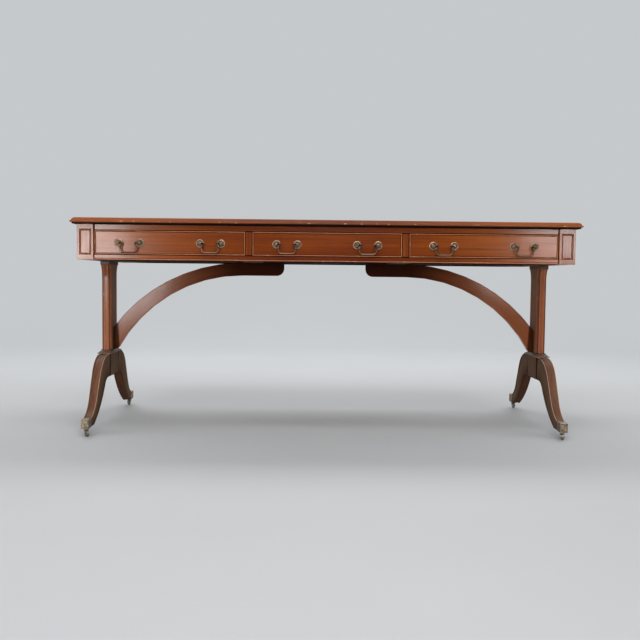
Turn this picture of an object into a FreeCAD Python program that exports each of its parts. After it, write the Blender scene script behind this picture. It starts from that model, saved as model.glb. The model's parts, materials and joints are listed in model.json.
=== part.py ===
"""Library table in mahogany: three drawers in a long frieze, one flat column at each end on a pair of
sabre legs with brass box casters, and a pair of arched brackets from the columns to the frieze.

Millimetres. X runs along the table, Y from the drawer side to the back, Z up from the floor, and the
origin is on the floor under the middle of the top.
"""
import FreeCAD, Part
import math
import os
import re
import Sketcher
from FreeCAD import Placement, Rotation, Vector

os.makedirs("parts", exist_ok=True)
doc = FreeCAD.newDocument("LibraryTable")

# Driving dimensions

DRIVING = {
    # the top and its moulded edge
    "top_length": 1780,
    "top_depth": 790,
    "table_height": 772,
    "top_thickness": 22,
    "top_overhang": 20,
    "moulding_set": 14,
    "ovolo_radius": 14,
    "nose_height": 6,
    "nose_radius": 4,
    "nose_rise": 5,
    "nose_step": 3.5,
    "underside_set": 6,
    # the frieze
    "apron_height": 124,
    "apron_thickness": 22,
    "post_width": 60,
    "post_proud": 1.5,
    "post_quirk_width": 3,
    "post_quirk_depth": 5,
    "panel_side_margin": 7.5,
    "panel_end_margin": 17,
    "panel_depth": 3,
    "panel_slope": 40,
    "top_rail_height": 21,
    "bottom_rail_height": 19,
    "rail_depth": 60,
    "divider_width": 25,
    "edge_bead_height": 5,
    "edge_bead_radius": 2.6,
    "bracket_bearer_width": 90,
    "end_runner_width": 36,
    "runner_width": 70,
    "guide_height": 20,
    # the drawers
    "drawer_gap": 1,
    "slide_gap": 0.3,
    "cock_bead_width": 3,
    "cock_bead_depth": 6,
    "cock_bead_proud": 1.5,
    "cock_bead_round": 1.35,
    "front_thickness": 20,
    "side_thickness": 10,
    "drawer_back_gap": 15,
    "back_drop": 10,
    "bottom_thickness": 7,
    "bottom_rise": 9,
    "groove_depth": 5,
    "dovetail_length": 13,
    "pin_root": 6,
    "pin_tip": 3,
    "stop_length": 40,
    "stop_width": 12,
    "stop_height": 6,
    "stop_spread": 340,
    # the swan-neck handles
    "handle_spread": 282,
    "post_spacing": 73.5,
    "handle_below_middle": 1.5,
    "rosette_radius": 15,
    "rosette_rim": 1.5,
    "rosette_ring": 13,
    "rosette_ring_rise": 2.8,
    "rosette_dish": 10.5,
    "rosette_dish_rise": 1.8,
    "rosette_boss": 6,
    "rosette_boss_rise": 4,
    "handle_reach": 13.5,
    "ball_radius": 5,
    "neck_radius": 3,
    "shank_radius": 2.5,
    "shank_end": 3,
    "nut_width": 9,
    "nut_thickness": 4,
    "bail_radius": 2.1,
    "bail_end_gap": 0.5,
    "bail_neck_half": 21.5,
    "bail_belly_half": 30.5,
    "bail_belly_drop": 20,
    "bail_bar_half": 20,
    "bail_drop": 29.5,
    "bail_neck_bend": 3,
    "bail_belly_bend": 9,
    "bail_bar_bend": 8,
    "running_fit": 0.05,
    # the columns and their caps
    "column_inset": 3,
    "column_width": 34,
    "column_depth": 110,
    "column_hollow": 7,
    "flare_height": 47,
    "flare_radius": 75,
    "cap_height": 14,
    "cap_proud": 3,
    # the plinth mouldings and the leg blocks
    "plinth_height": 14,
    "plinth_fillet": 4,
    "plinth_width": 54,
    "plinth_depth": 168,
    "plinth_neck": 2,
    "leg_block_width": 37,
    "leg_block_depth": 124,
    "leg_block_height": 88,
    # the sabre legs
    "leg_height": 268,
    "knee_run": 36,
    "knee_radius": 123,
    "splay_angle": 60,
    "toe_radius": 125,
    "toe_angle": 18,
    "leg_proud": 1.1,
    "arch_run": 33,
    "arch_radius": 55,
    "arch_angle": 55,
    "hollow_radius": 377,
    "hollow_back": 34,
    "shoulder_width": 28,
    # the box casters
    "cup_rise": 28.5,
    "cup_length": 42,
    "cup_width": 27,
    "cup_height": 34,
    "cup_wall": 2,
    "cup_front_wall": 2.5,
    "toe_fit": 0.1,
    "wheel_radius": 12,
    "wheel_width": 9,
    "tread_width": 6,
    "tread_drop": 0.6,
    "wheel_hub": 4.5,
    "wheel_rim": 9.5,
    "wheel_dish": 1.5,
    "wheel_side_gap": 0.5,
    "caster_trail": 9,
    "cheek_thickness": 2,
    "cheek_round": 5,
    "cheek_root": 6,
    "crown_radius": 10,
    "crown_thickness": 3,
    "crown_gap": 0.4,
    "stem_radius": 3,
    "stem_length": 15,
    "stem_clearance": 0.3,
    "axle_radius": 2,
    "axle_head_radius": 3,
    "axle_head_thickness": 1,
    # the arched brackets
    "bracket_thickness": 24,
    "bracket_end": 161,
    "bracket_depth": 50.5,
    "bracket_corner": 28,
    "bracket_upper_radius": 641,
    "bracket_lower_radius": 558,
    "bracket_tangent": 345,
    "bracket_flat_end": 325,
    "bracket_root": 84,
    "bracket_foot": 17,
}

# Tails in each dovetailed corner of a drawer
TAILS = 4

# Sizes that follow from the driving ones

DERIVED = {
    "half_length": "top_length / 2",
    "half_depth": "top_depth / 2",
    "top_under": "table_height - top_thickness",
    "nose_sag": "nose_radius - sqrt(nose_radius ^ 2 - nose_height ^ 2 / 4)",
    "frame_x": "half_length - top_overhang",
    "frame_y": "half_depth - top_overhang",
    "post_x": "frame_x - post_width",
    "post_y": "frame_y - post_width",
    "apron_under": "top_under - apron_height",
    "face_y": "frame_y - post_proud",
    "face_x": "frame_x - post_proud",
    "rail_back": "face_y - rail_depth",
    "opening_low": "apron_under + bottom_rail_height",
    "opening_high": "top_under - top_rail_height",
    "opening_width": "(2 * post_x - 2 * divider_width) / 3",
    "drawer_pitch": "opening_width + divider_width",
    "divider_x": "drawer_pitch / 2",
    "apron_inside_x": "face_x - apron_thickness",
    "apron_inside_y": "face_y - apron_thickness",
    "half_lap": "apron_under + bottom_rail_height / 2",
    "front_low": "opening_low + drawer_gap",
    "front_high": "opening_high - drawer_gap",
    "front_half": "opening_width / 2 - drawer_gap",
    "front_back": "face_y - front_thickness",
    "bead_back": "face_y - cock_bead_depth",
    "side_low": "opening_low + slide_gap",
    "box_half": "front_half - side_thickness",
    "tail_pitch": f"(front_high - side_low) / {TAILS}",
    "tail_end": "front_back + dovetail_length",
    "drawer_length": "front_back + apron_inside_y - drawer_back_gap",
    "box_back": "drawer_length - front_back",
    "bottom_low": "side_low + bottom_rise",
    "bottom_high": "bottom_low + bottom_thickness",
    "handle_height": "(opening_low + opening_high) / 2 - handle_below_middle",
    "handle_y": "face_y + handle_reach",
    "column_x": "frame_x - column_inset - column_width / 2",
    "column_inner": "column_x - column_width / 2",
    "column_low": "leg_height + plinth_height",
    "column_high": "apron_under - cap_height",
    "flare_low": "column_high - flare_height",
    "flare_out": "flare_radius - sqrt(flare_radius ^ 2 - flare_height ^ 2)",
    "block_low": "leg_height - leg_block_height",
    "cup_top": "cup_rise + cup_height",
    "toe_low": "cup_rise + cup_wall + toe_fit",
    "toe_high": "cup_top - cup_wall - toe_fit",
    "toe_half": "cup_width / 2 - cup_wall - toe_fit",
    "knee_start": "leg_block_depth / 2 + knee_run",
    "knee_y": "knee_start + knee_radius * sin(splay_angle * 1 deg)",
    "knee_z": "leg_height - knee_radius * (1 - cos(splay_angle * 1 deg))",
    "shin_z": "cup_top + leg_proud + toe_radius * (cos(toe_angle * 1 deg) - cos(splay_angle * 1 deg))",
    "shin_y": "knee_y + (knee_z - shin_z) / tan(splay_angle * 1 deg)",
    "cup_back": "shin_y + toe_radius * (sin(splay_angle * 1 deg) - sin(toe_angle * 1 deg))",
    "cup_front": "cup_back + cup_length",
    "toe_end": "cup_front - cup_front_wall - toe_fit",
    "arch_start": "leg_block_depth / 2 + arch_run",
    "arch_y": "arch_start + arch_radius * sin(arch_angle * 1 deg)",
    "arch_z": "block_low - arch_radius * (1 - cos(arch_angle * 1 deg))",
    "hollow_end": "cup_back - hollow_back",
    "caster_y": "cup_back + cup_length / 2",
    "crown_top": "cup_rise - crown_gap",
    "crown_low": "crown_top - crown_thickness",
    "fork_half_gap": "wheel_width / 2 + wheel_side_gap",
    "fork_half_width": "fork_half_gap + cheek_thickness",
    "bracket_low": "apron_under - bracket_depth",
}

sheet = doc.addObject("Spreadsheet::Sheet", "Sizes")
for row, (alias, value) in enumerate(list(DRIVING.items()) + list(DERIVED.items()), start=1):
    sheet.set(f"A{row}", alias)
    sheet.set(f"B{row}", f"={value}" if alias in DERIVED else str(value))
    sheet.setAlias(f"B{row}", alias)
doc.recompute()

ALIASES = set(DRIVING) | set(DERIVED)

# Degrees that each caster is turned at rest, about its stem: at 0 its wheel trails straight to the back
CASTER_TURN = {"front_left": 215, "front_right": 165, "back_left": 20, "back_right": -25}
DRAWERS = {"left": -1, "middle": 0, "right": 1}
SIDES = {"left": -1, "right": 1}
ENDS = {"front": -1, "back": 1}

# How far apart two points may lie and still count as one
TOUCH = 0.01


def bound(text):
    """The expression with each size's name led by the sheet's name."""
    def lead(word):
        return "Sizes." + word.group() if word.group() in ALIASES else word.group()

    return re.sub(r"[a-z][a-z_]+", lead, text)


def number(text):
    """The value of an expression on the sheet."""
    return float(sheet.evalExpression(bound(text)))


def put(piece, x="0", y="0", z="0", turn="0"):
    """Places a piece and turns it about Z, with each coordinate and the turn bound to the sheet."""
    piece.Placement = Placement(Vector(), Rotation(Vector(0, 0, 1), number(turn)))
    for key, text in (("x", x), ("y", y), ("z", z)):
        piece.setExpression(f"Placement.Base.{key}", bound(text))
    if turn != "0":
        piece.setExpression("Placement.Rotation.Angle", bound(turn))
    return piece


def board(name, x, y, z):
    """A plain board between two values on each axis."""
    piece = doc.addObject("Part::Box", name)
    for prop, (low, high) in zip(("Length", "Width", "Height"), (x, y, z)):
        piece.setExpression(prop, bound(f"({high}) - ({low})"))
    return put(piece, x[0], y[0], z[0])


def group(name, members):
    """One node of separate solids."""
    piece = doc.addObject("Part::Compound", name)
    piece.Links = members
    return piece


def body(name):
    piece = doc.addObject("PartDesign::Body", name)
    piece.AllowCompound = True
    return piece


def new_sketch(piece, plane, rise="0"):
    """An empty sketch on an origin plane of the body, lifted off the plane by its rise."""
    sketch = piece.newObject("Sketcher::SketchObject", "Sketch")
    origin = [feature for feature in piece.Origin.OriginFeatures if feature.Role == plane][0]
    sketch.AttachmentSupport = [(origin, "")]
    sketch.MapMode = "FlatFace"
    sketch.setExpression("AttachmentOffset.Base.z", bound(rise))
    return sketch


def tie(sketch, kind, where, text):
    """A dimension in a sketch, bound to the sheet."""
    index = sketch.addConstraint(Sketcher.Constraint(kind, *where, number(text)))
    sketch.setExpression(f"Constraints[{index}]", bound(text))


def draw(piece, plane, outlines, rise="0"):
    """A sketch of closed outlines. An outline lists corners as (across, up) or, where an arc leads on to
    the next corner, (across, up, radius); the arc turns left with a plain radius and right with a leading
    minus. A circle is (across, up, radius) alone in its outline."""
    sketch = new_sketch(piece, plane, rise)
    for outline in outlines:
        if len(outline) == 1:
            across, up, radius = outline[0]
            ring = Part.Circle(Vector(number(across), number(up), 0), Vector(0, 0, 1), number(radius))
            edge = sketch.addGeometry(ring, False)
            tie(sketch, "DistanceX", (-1, 1, edge, 3), across)
            tie(sketch, "DistanceY", (-1, 1, edge, 3), up)
            tie(sketch, "Radius", (edge,), radius)
            continue
        corners = [Vector(number(corner[0]), number(corner[1]), 0) for corner in outline]
        starts = []
        finishes = []
        for place, corner in enumerate(outline):
            start = corners[place]
            finish = corners[(place + 1) % len(corners)]
            if len(corner) == 2:
                edge = sketch.addGeometry(Part.LineSegment(start, finish), False)
                starts.append((edge, 1))
                finishes.append((edge, 2))
                continue
            left = not corner[2].startswith("-")
            radius = number(corner[2].lstrip("-"))
            chord = finish - start
            across = Vector(-chord.y, chord.x, 0).normalize()
            depth = math.sqrt(radius ** 2 - chord.Length ** 2 / 4)
            middle = (start + finish) / 2 + across * (depth if left else -depth)
            first, last = (start, finish) if left else (finish, start)
            angles = [math.atan2((point - middle).y, (point - middle).x) for point in (first, last)]
            arc = Part.ArcOfCircle(Part.Circle(middle, Vector(0, 0, 1), radius), *angles)
            edge = sketch.addGeometry(arc, False)
            starts.append((edge, 1 if left else 2))
            finishes.append((edge, 2 if left else 1))
            tie(sketch, "Radius", (edge,), corner[2].lstrip("-"))
        for place, corner in enumerate(outline):
            sketch.addConstraint(Sketcher.Constraint("Coincident", *finishes[place - 1], *starts[place]))
            tie(sketch, "DistanceX", (-1, 1, *starts[place]), corner[0])
            tie(sketch, "DistanceY", (-1, 1, *starts[place]), corner[1])
    return sketch


def route(piece, plane, corners):
    """An open sketch of straight runs between corners (across, up, bend), where each inner corner is
    rounded by its bend. A construction point on both runs keeps the corner itself in place."""
    sketch = new_sketch(piece, plane)
    points = [Vector(number(corner[0]), number(corner[1]), 0) for corner in corners]
    starts = [points[0]]
    finishes = []
    bends = []
    for place in range(1, len(points) - 1):
        corner = points[place]
        back = (points[place - 1] - corner).normalize()
        on = (points[place + 1] - corner).normalize()
        radius = number(corners[place][2])
        half_turn = (math.pi - back.getAngle(on)) / 2
        finishes.append(corner + back * radius * math.tan(half_turn))
        starts.append(corner + on * radius * math.tan(half_turn))
        middle = corner + (back + on).normalize() * (radius / math.cos(half_turn))
        left = on.cross(back).z > 0
        ends = (finishes[-1], starts[-1]) if left else (starts[-1], finishes[-1])
        angles = [math.atan2((point - middle).y, (point - middle).x) for point in ends]
        bends.append((left, Part.ArcOfCircle(Part.Circle(middle, Vector(0, 0, 1), radius), *angles)))
    finishes.append(points[-1])
    runs = [sketch.addGeometry(Part.LineSegment(*ends), False) for ends in zip(starts, finishes)]
    for place, (left, arc) in enumerate(bends, start=1):
        bend = sketch.addGeometry(arc, False)
        first, last = (1, 2) if left else (2, 1)
        sketch.addConstraint(Sketcher.Constraint("Tangent", runs[place - 1], 2, bend, first))
        sketch.addConstraint(Sketcher.Constraint("Tangent", bend, last, runs[place], 1))
        tie(sketch, "Radius", (bend,), corners[place][2])
        held = sketch.addGeometry(Part.Point(points[place]), True)
        for run in (runs[place - 1], runs[place]):
            sketch.addConstraint(Sketcher.Constraint("PointOnObject", held, 1, run))
        tie(sketch, "DistanceX", (-1, 1, held, 1), corners[place][0])
        tie(sketch, "DistanceY", (-1, 1, held, 1), corners[place][1])
    for corner, end in ((corners[0], (runs[0], 1)), (corners[-1], (runs[-1], 2))):
        tie(sketch, "DistanceX", (-1, 1, *end), corner[0])
        tie(sketch, "DistanceY", (-1, 1, *end), corner[1])
    return sketch


def feature(piece, kind, sketch, length=None, both_ways=False, back=False, taper=None):
    """A pad or pocket from a sketch, checked for having added or removed something."""
    before = piece.Shape.Volume if piece.Tip else 0
    made = piece.newObject(f"PartDesign::{kind}", kind)
    made.Profile = sketch
    made.Reversed = back
    if both_ways:
        made.SideType = "Symmetric"
    if length is None:
        made.Type = "ThroughAll"
    else:
        made.setExpression("Length", bound(length))
    if taper is not None:
        made.setExpression("TaperAngle", bound(taper))
    doc.recompute()
    change = piece.Shape.Volume - before
    if (change <= 0) == (kind == "Pad"):
        raise ValueError(f"{kind} of {piece.Label} did nothing")
    return made


def turned(piece, outline):
    """A solid of revolution about the body's Y axis, from an outline of (along, out) corners."""
    sketch = draw(piece, "YZ_Plane", [outline])
    made = piece.newObject("PartDesign::Revolution", "Revolution")
    made.Profile = sketch
    made.ReferenceAxis = (sketch, ["H_Axis"])
    made.Angle = 360
    doc.recompute()
    return piece


def rectangle(left, right, low, high):
    return [(left, low), (right, low), (right, high), (left, high)]


# The top


def edge_profile(half):
    """The moulded edge, from the underside up: a nosing under an ovolo."""
    return [
        (f"{half} - underside_set", "top_under"),
        (f"{half} - underside_set", "top_under + nose_rise"),
        (f"{half} - nose_sag", "top_under + nose_rise", "nose_radius"),
        (f"{half} - nose_sag", "top_under + nose_rise + nose_height"),
        (f"{half} - nose_step", "top_under + nose_rise + nose_height", "ovolo_radius"),
        (f"{half} - moulding_set", "table_height"),
    ]


def mirrored(profile):
    """The same profile on the other side, walked the other way round with its arcs still turning left."""
    flipped = []
    for place in range(len(profile) - 1, -1, -1):
        across, up = profile[place][:2]
        before = profile[place - 1] if place else ()
        flipped.append((f"-({across})", up) + tuple(before[2:]))
    return flipped


def table_top():
    """Moulded along the front and back by its section, and along the ends by cutting the same profile."""
    piece = body("table_top")
    long_edge = edge_profile("half_depth")
    section = draw(piece, "YZ_Plane", [long_edge + mirrored(long_edge)])
    feature(piece, "Pad", section, "top_length", both_ways=True)
    cuts = []
    for flip in (False, True):
        end = edge_profile("half_length")
        margin = [("half_length + top_overhang", "table_height + top_overhang"),
                  ("half_length + top_overhang", "top_under - top_overhang")]
        top_point = [("half_length - moulding_set", "table_height + top_overhang")]
        low_point = [("half_length - underside_set", "top_under - top_overhang")]
        loop = low_point + end + top_point + margin
        cuts.append(mirrored(loop) if flip else loop)
    feature(piece, "Pocket", draw(piece, "XZ_Plane", cuts), both_ways=True)
    return piece


# The frieze


def across(sign, inner, outer):
    """The span from an inner to an outer distance, on the left for sign -1 and on the right for 1."""
    return (inner, outer) if sign > 0 else (f"-({outer})", f"-({inner})")


def about(middle, width):
    return f"{middle} - {width} / 2", f"{middle} + {width} / 2"


def beaded(name, plane, sign, face, inside, levels, length):
    """A rail or apron along one axis, with a half-round bead along the lower edge of its show face."""
    low, high = levels
    profile = [(inside, high), (inside, low), (face, low, "edge_bead_radius"),
               (face, f"{low} + edge_bead_height"), (face, high)]
    piece = body(name)
    outline = profile if sign > 0 else mirrored(profile)
    feature(piece, "Pad", draw(piece, plane, [outline]), length, both_ways=True)
    return piece


def corner_post(name):
    """A square post whose show faces look towards -X and -Y. Each has a sunk panel, and a quirk down its
    inner edge that parts it from the rails."""
    piece = body(name)
    half = "post_width / 2"
    section = draw(piece, "XY_Plane", [rectangle(f"-{half}", half, f"-{half}", half)])
    feature(piece, "Pad", section, "apron_height")
    inner_edge = f"({half} - post_quirk_width)"
    quirk = rectangle(inner_edge, half, "0", "apron_height")
    panel = rectangle(f"panel_side_margin - {half}", f"{inner_edge} - panel_side_margin",
                      "panel_end_margin", "apron_height - panel_end_margin")
    for plane, rise, back in (("XZ_Plane", half, False), ("YZ_Plane", f"-{half}", True)):
        sunk = draw(piece, plane, [panel], rise)
        feature(piece, "Pocket", sunk, "panel_depth", back=back, taper="-panel_slope")
        feature(piece, "Pocket", draw(piece, plane, [quirk], rise), "post_quirk_depth", back=back)
    return piece


def frieze():
    whole = ("apron_under", "top_under")
    upper = ("opening_high", "top_under")
    lower = ("apron_under", "opening_low")
    rail_span = ("-face_y", "-rail_back")
    pieces = [
        board("front_top_rail", ("-post_x", "post_x"), rail_span, upper),
        beaded("front_bottom_rail", "YZ_Plane", -1, "face_y", "rail_back", lower, "2 * post_x"),
        beaded("back_apron", "YZ_Plane", 1, "face_y", "apron_inside_y", whole, "2 * post_x"),
    ]
    dividers = []
    for side, sign in SIDES.items():
        apron = beaded(f"end_apron_{side}", "XZ_Plane", sign, "face_x", "apron_inside_x", whole,
                       "2 * post_y")
        bearer_span = across(sign, "post_x", "apron_inside_x")
        bearer = board(f"end_bearer_{side}", bearer_span, ("-post_y", "post_y"), whole)
        pieces += [apron, bearer]
        dividers.append(board(f"divider_{side}", about(f"{sign} * divider_x", "divider_width"), rail_span,
                              ("opening_low", "opening_high")))
    pieces.append(group("drawer_dividers", dividers))
    corners = (("front_left", -1, -1), ("front_right", 1, -1), ("back_right", 1, 1), ("back_left", -1, 1))
    for place, (where, along, out) in enumerate(corners):
        post_at = (f"{along} * (frame_x - post_width / 2)", f"{out} * (frame_y - post_width / 2)")
        post = corner_post(f"corner_post_{where}")
        pieces.append(put(post, *post_at, "apron_under", str(90 * place)))
    return pieces


def bracket_bearer():
    """The long board under the drawers that the arched brackets meet, halved over each runner."""
    piece = body("bracket_bearer")
    half = [
        ("post_x", "apron_under"),
        ("post_x", "half_lap"),
        ("post_x - end_runner_width", "half_lap"),
        ("post_x - end_runner_width", "opening_low"),
        ("divider_x + runner_width / 2", "opening_low"),
        ("divider_x + runner_width / 2", "half_lap"),
        ("divider_x - runner_width / 2", "half_lap"),
        ("divider_x - runner_width / 2", "opening_low"),
    ]
    side_view = draw(piece, "XZ_Plane", [half + mirrored(half)])
    feature(piece, "Pad", side_view, "bracket_bearer_width", both_ways=True)
    return piece


def runner(name, middle, width):
    """A drawer runner from the bottom rail to the back apron, halved over the bracket bearer."""
    piece = body(name)
    lap = "bracket_bearer_width / 2"
    outline = [("-rail_back", "apron_under"), (f"-{lap}", "apron_under"), (f"-{lap}", "half_lap"),
               (lap, "half_lap"), (lap, "apron_under"), ("apron_inside_y", "apron_under"),
               ("apron_inside_y", "opening_low"), ("-rail_back", "opening_low")]
    feature(piece, "Pad", draw(piece, "YZ_Plane", [outline]), width, both_ways=True)
    return put(piece, middle)


def drawer_carcase():
    """Runners, guides, kickers and stops, which carry and keep the drawers straight."""
    depth = ("-rail_back", "apron_inside_y")
    above = ("opening_high", "top_under")
    runners = []
    guides = []
    kickers = []
    stops = []
    for side, sign in SIDES.items():
        end_middle = f"{sign} * (post_x - end_runner_width / 2)"
        lines = (("end", end_middle, "end_runner_width"), ("inner", f"{sign} * divider_x", "runner_width"))
        for where, middle, width in lines:
            runners.append(runner(f"runner_{side}_{where}", middle, width))
            kickers.append(board(f"kicker_{side}_{where}", about(middle, width), depth, above))
        guides.append(board(f"guide_{side}", about(f"{sign} * divider_x", "divider_width"), depth,
                            ("opening_low", "opening_low + guide_height")))
        for drawer, place in DRAWERS.items():
            middle = f"{place} * drawer_pitch + {sign} * stop_spread / 2"
            stops.append(board(f"stop_{drawer}_{side}", about(middle, "stop_length"),
                               ("slide_gap - front_back", "slide_gap - front_back + stop_width"),
                               ("opening_low", "opening_low + stop_height")))
    return [group("drawer_runners", runners), group("drawer_guides", guides),
            group("drawer_kickers", kickers), group("drawer_stops", stops)]


def bead_strips(name, rise, depth):
    """Four mitred cock beads round one drawer front, each with its show edge rounded over."""
    inner = "front_half - cock_bead_width"
    low_in = "front_low + cock_bead_width"
    high_in = "front_high - cock_bead_width"
    outer = rectangle("-front_half", "front_half", "front_low", "front_high")
    field = rectangle(f"-({inner})", inner, low_in, high_in)
    strips = {}
    for place, side in enumerate(("lower", "right", "upper", "left")):
        after = (place + 1) % len(outer)
        strips[side] = [outer[place], outer[after], field[after], field[place]]
    pieces = []
    for side, outline in strips.items():
        strip = body(f"{name}_{side}")
        pad = feature(strip, "Pad", draw(strip, "XZ_Plane", [outline], rise), depth)
        show = -number(f"{rise} + {depth}")
        long_edges = [f"Edge{place}" for place, edge in enumerate(pad.Shape.Edges, start=1)
                      if edge.BoundBox.YMax < show + TOUCH and edge.Length > 2 * number("cock_bead_width")]
        round_over = strip.newObject("PartDesign::Fillet", "Fillet")
        round_over.Base = (pad, long_edges)
        round_over.setExpression("Radius", bound("cock_bead_round"))
        pieces.append(strip)
    return pieces


def sham_drawers():
    """The same cock beads laid on the back apron, where the table shows false drawers."""
    strips = []
    for where, place in DRAWERS.items():
        for strip in bead_strips(f"sham_{where}", "face_y", "cock_bead_proud"):
            strips.append(put(strip, f"{place} * drawer_pitch", turn="180"))
    return group("back_cock_beads", strips)


# The drawers


def dovetails():
    """The tails of one drawer side, from the lowest up: each widens from the back of the drawer front to
    its end inside the front."""
    tails = []
    for place in range(TAILS):
        low = f"side_low + {place} * tail_pitch"
        high = f"side_low + {place + 1} * tail_pitch"
        tails.append([("-front_back", f"{low} + pin_root / 2"), ("-tail_end", f"{low} + pin_tip / 2"),
                      ("-tail_end", f"{high} - pin_tip / 2"), ("-front_back", f"{high} - pin_root / 2")])
    return tails


def drawer_front(name):
    """Rebated round its edge for the cock beads, cut at both ends for the sides' dovetails, which it laps,
    and bored for the shanks of its two handles."""
    piece = body(name)
    whole = rectangle("-front_half", "front_half", "front_low", "front_high")
    field = rectangle("cock_bead_width - front_half", "front_half - cock_bead_width",
                      "front_low + cock_bead_width", "front_high - cock_bead_width")
    backing = draw(piece, "XZ_Plane", [whole], "front_back")
    feature(piece, "Pad", backing, "front_thickness - cock_bead_depth")
    feature(piece, "Pad", draw(piece, "XZ_Plane", [field], "bead_back"), "cock_bead_depth")
    for sign in SIDES.values():
        sockets = draw(piece, "YZ_Plane", dovetails(), f"{sign} * box_half")
        feature(piece, "Pocket", sockets, "side_thickness", back=sign > 0)
    bores = [[(x, "handle_height", "shank_radius + running_fit")] for x, inward in handle_posts()]
    feature(piece, "Pocket", draw(piece, "XZ_Plane", bores, "face_y"))
    return piece


def drawer_plank(name, sign):
    """One side of a drawer before it is grooved, with a row of dovetails at its front end."""
    piece = body(name)
    outline = [("-front_back", "side_low")]
    for tail in dovetails():
        outline += tail
    outline += [("-front_back", "front_high"), ("box_back", "front_high"), ("box_back", "side_low")]
    side_view = draw(piece, "YZ_Plane", [outline], f"{sign} * box_half")
    feature(piece, "Pad", side_view, "side_thickness", back=sign < 0)
    return piece


def drawer_box(name):
    """Two grooved sides, a back and a bottom that runs in the grooves and under the back."""
    depth = ("-front_back", "box_back")
    floor_span = ("-box_half - groove_depth", "box_half + groove_depth")
    floor = board(f"{name}_bottom", floor_span, depth, ("bottom_low", "bottom_high"))
    back = board(f"{name}_back", ("-box_half", "box_half"), ("box_back - side_thickness", "box_back"),
                 ("bottom_high", "front_high - back_drop"))
    sides = []
    for side, sign in SIDES.items():
        grooved = doc.addObject("Part::Cut", f"{name}_side_{side}")
        grooved.Base = drawer_plank(f"{name}_plank_{side}", sign)
        grooved.Tool = floor
        sides.append(grooved)
    return group(name, sides + [floor, back])


def handle_posts():
    """Each handle post's place across the drawer front, and which way its bail lies from it."""
    posts = []
    for hand in SIDES.values():
        for end in SIDES.values():
            posts.append((f"{hand} * handle_spread / 2 + {end} * post_spacing / 2", -end))
    return posts


def rosette(name):
    outline = [
        ("0", "neck_radius + running_fit"),
        ("0", "rosette_radius"),
        ("rosette_rim", "rosette_radius"),
        ("rosette_ring_rise", "rosette_ring"),
        ("rosette_dish_rise", "rosette_dish"),
        ("rosette_dish_rise", "rosette_boss"),
        ("rosette_boss_rise", "neck_radius + running_fit"),
    ]
    return turned(body(name), outline)


def handle_post(name, inward):
    """A shank through the drawer front, a neck through the rosette and a ball bored for the bail."""
    piece = body(name)
    outline = [
        ("-front_thickness - nut_thickness - shank_end", "0"),
        ("-front_thickness - nut_thickness - shank_end", "shank_radius"),
        ("0", "shank_radius"),
        ("0", "neck_radius"),
        ("handle_reach - sqrt(ball_radius ^ 2 - neck_radius ^ 2)", "neck_radius", "-ball_radius"),
        ("handle_reach + ball_radius", "0"),
    ]
    turned(piece, outline)
    bore = draw(piece, "YZ_Plane", [[("handle_reach", "0", "bail_radius + running_fit")]])
    feature(piece, "Pocket", bore, back=inward < 0)
    return piece


def nut(name):
    piece = body(name)
    half = "nut_width / 2"
    square = rectangle(f"-{half}", half, f"-{half}", half)
    plate = draw(piece, "XZ_Plane", [square, [("0", "0", "shank_radius")]], "front_thickness")
    feature(piece, "Pad", plate, "nut_thickness")
    return piece


def handle_mounts(name):
    """Rosettes, ball posts and nuts of the two handles of one drawer."""
    pieces = []
    for place, (x, inward) in enumerate(handle_posts()):
        for piece in (rosette(f"{name}_rosette_{place}"), handle_post(f"{name}_post_{place}", inward),
                      nut(f"{name}_nut_{place}")):
            pieces.append(put(piece, x, "-face_y", "handle_height", "180"))
    return group(name, pieces)


def bail(name, x):
    """A swan-neck bail: a rod swept along pins into the posts, necks that swell outwards and a bar."""
    half = [
        ("post_spacing / 2 - bail_end_gap", "0", "0"),
        ("bail_neck_half", "0", "bail_neck_bend"),
        ("bail_belly_half", "-bail_belly_drop", "bail_belly_bend"),
        ("bail_bar_half", "-bail_drop", "bail_bar_bend"),
    ]
    other_half = [(f"-({across})", up, bend) for across, up, bend in reversed(half)]
    piece = body(name)
    rod = piece.newObject("PartDesign::AdditivePipe", "Rod")
    rod.Profile = draw(piece, "YZ_Plane", [[("0", "0", "bail_radius")]], half[0][0])
    rod.Spine = route(piece, "XZ_Plane", half + other_half)
    return put(piece, x, "-handle_y", "handle_height")


def drawers():
    pieces = []
    for where, place in DRAWERS.items():
        middle = f"{place} * drawer_pitch"
        name = f"drawer_{where}"
        beads = bead_strips(f"{name}_bead", "bead_back", "cock_bead_depth + cock_bead_proud")
        parts = [
            drawer_front(f"{name}_front"),
            drawer_box(f"{name}_box"),
            group(f"{name}_cock_beads", beads),
            handle_mounts(f"{name}_handle_mounts"),
        ]
        pieces += [put(part, middle) for part in parts]
        for side, sign in SIDES.items():
            pieces.append(bail(f"{name}_bail_{side}", f"{middle} + {sign} * handle_spread / 2"))
    return pieces


# The columns, legs and brackets


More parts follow.
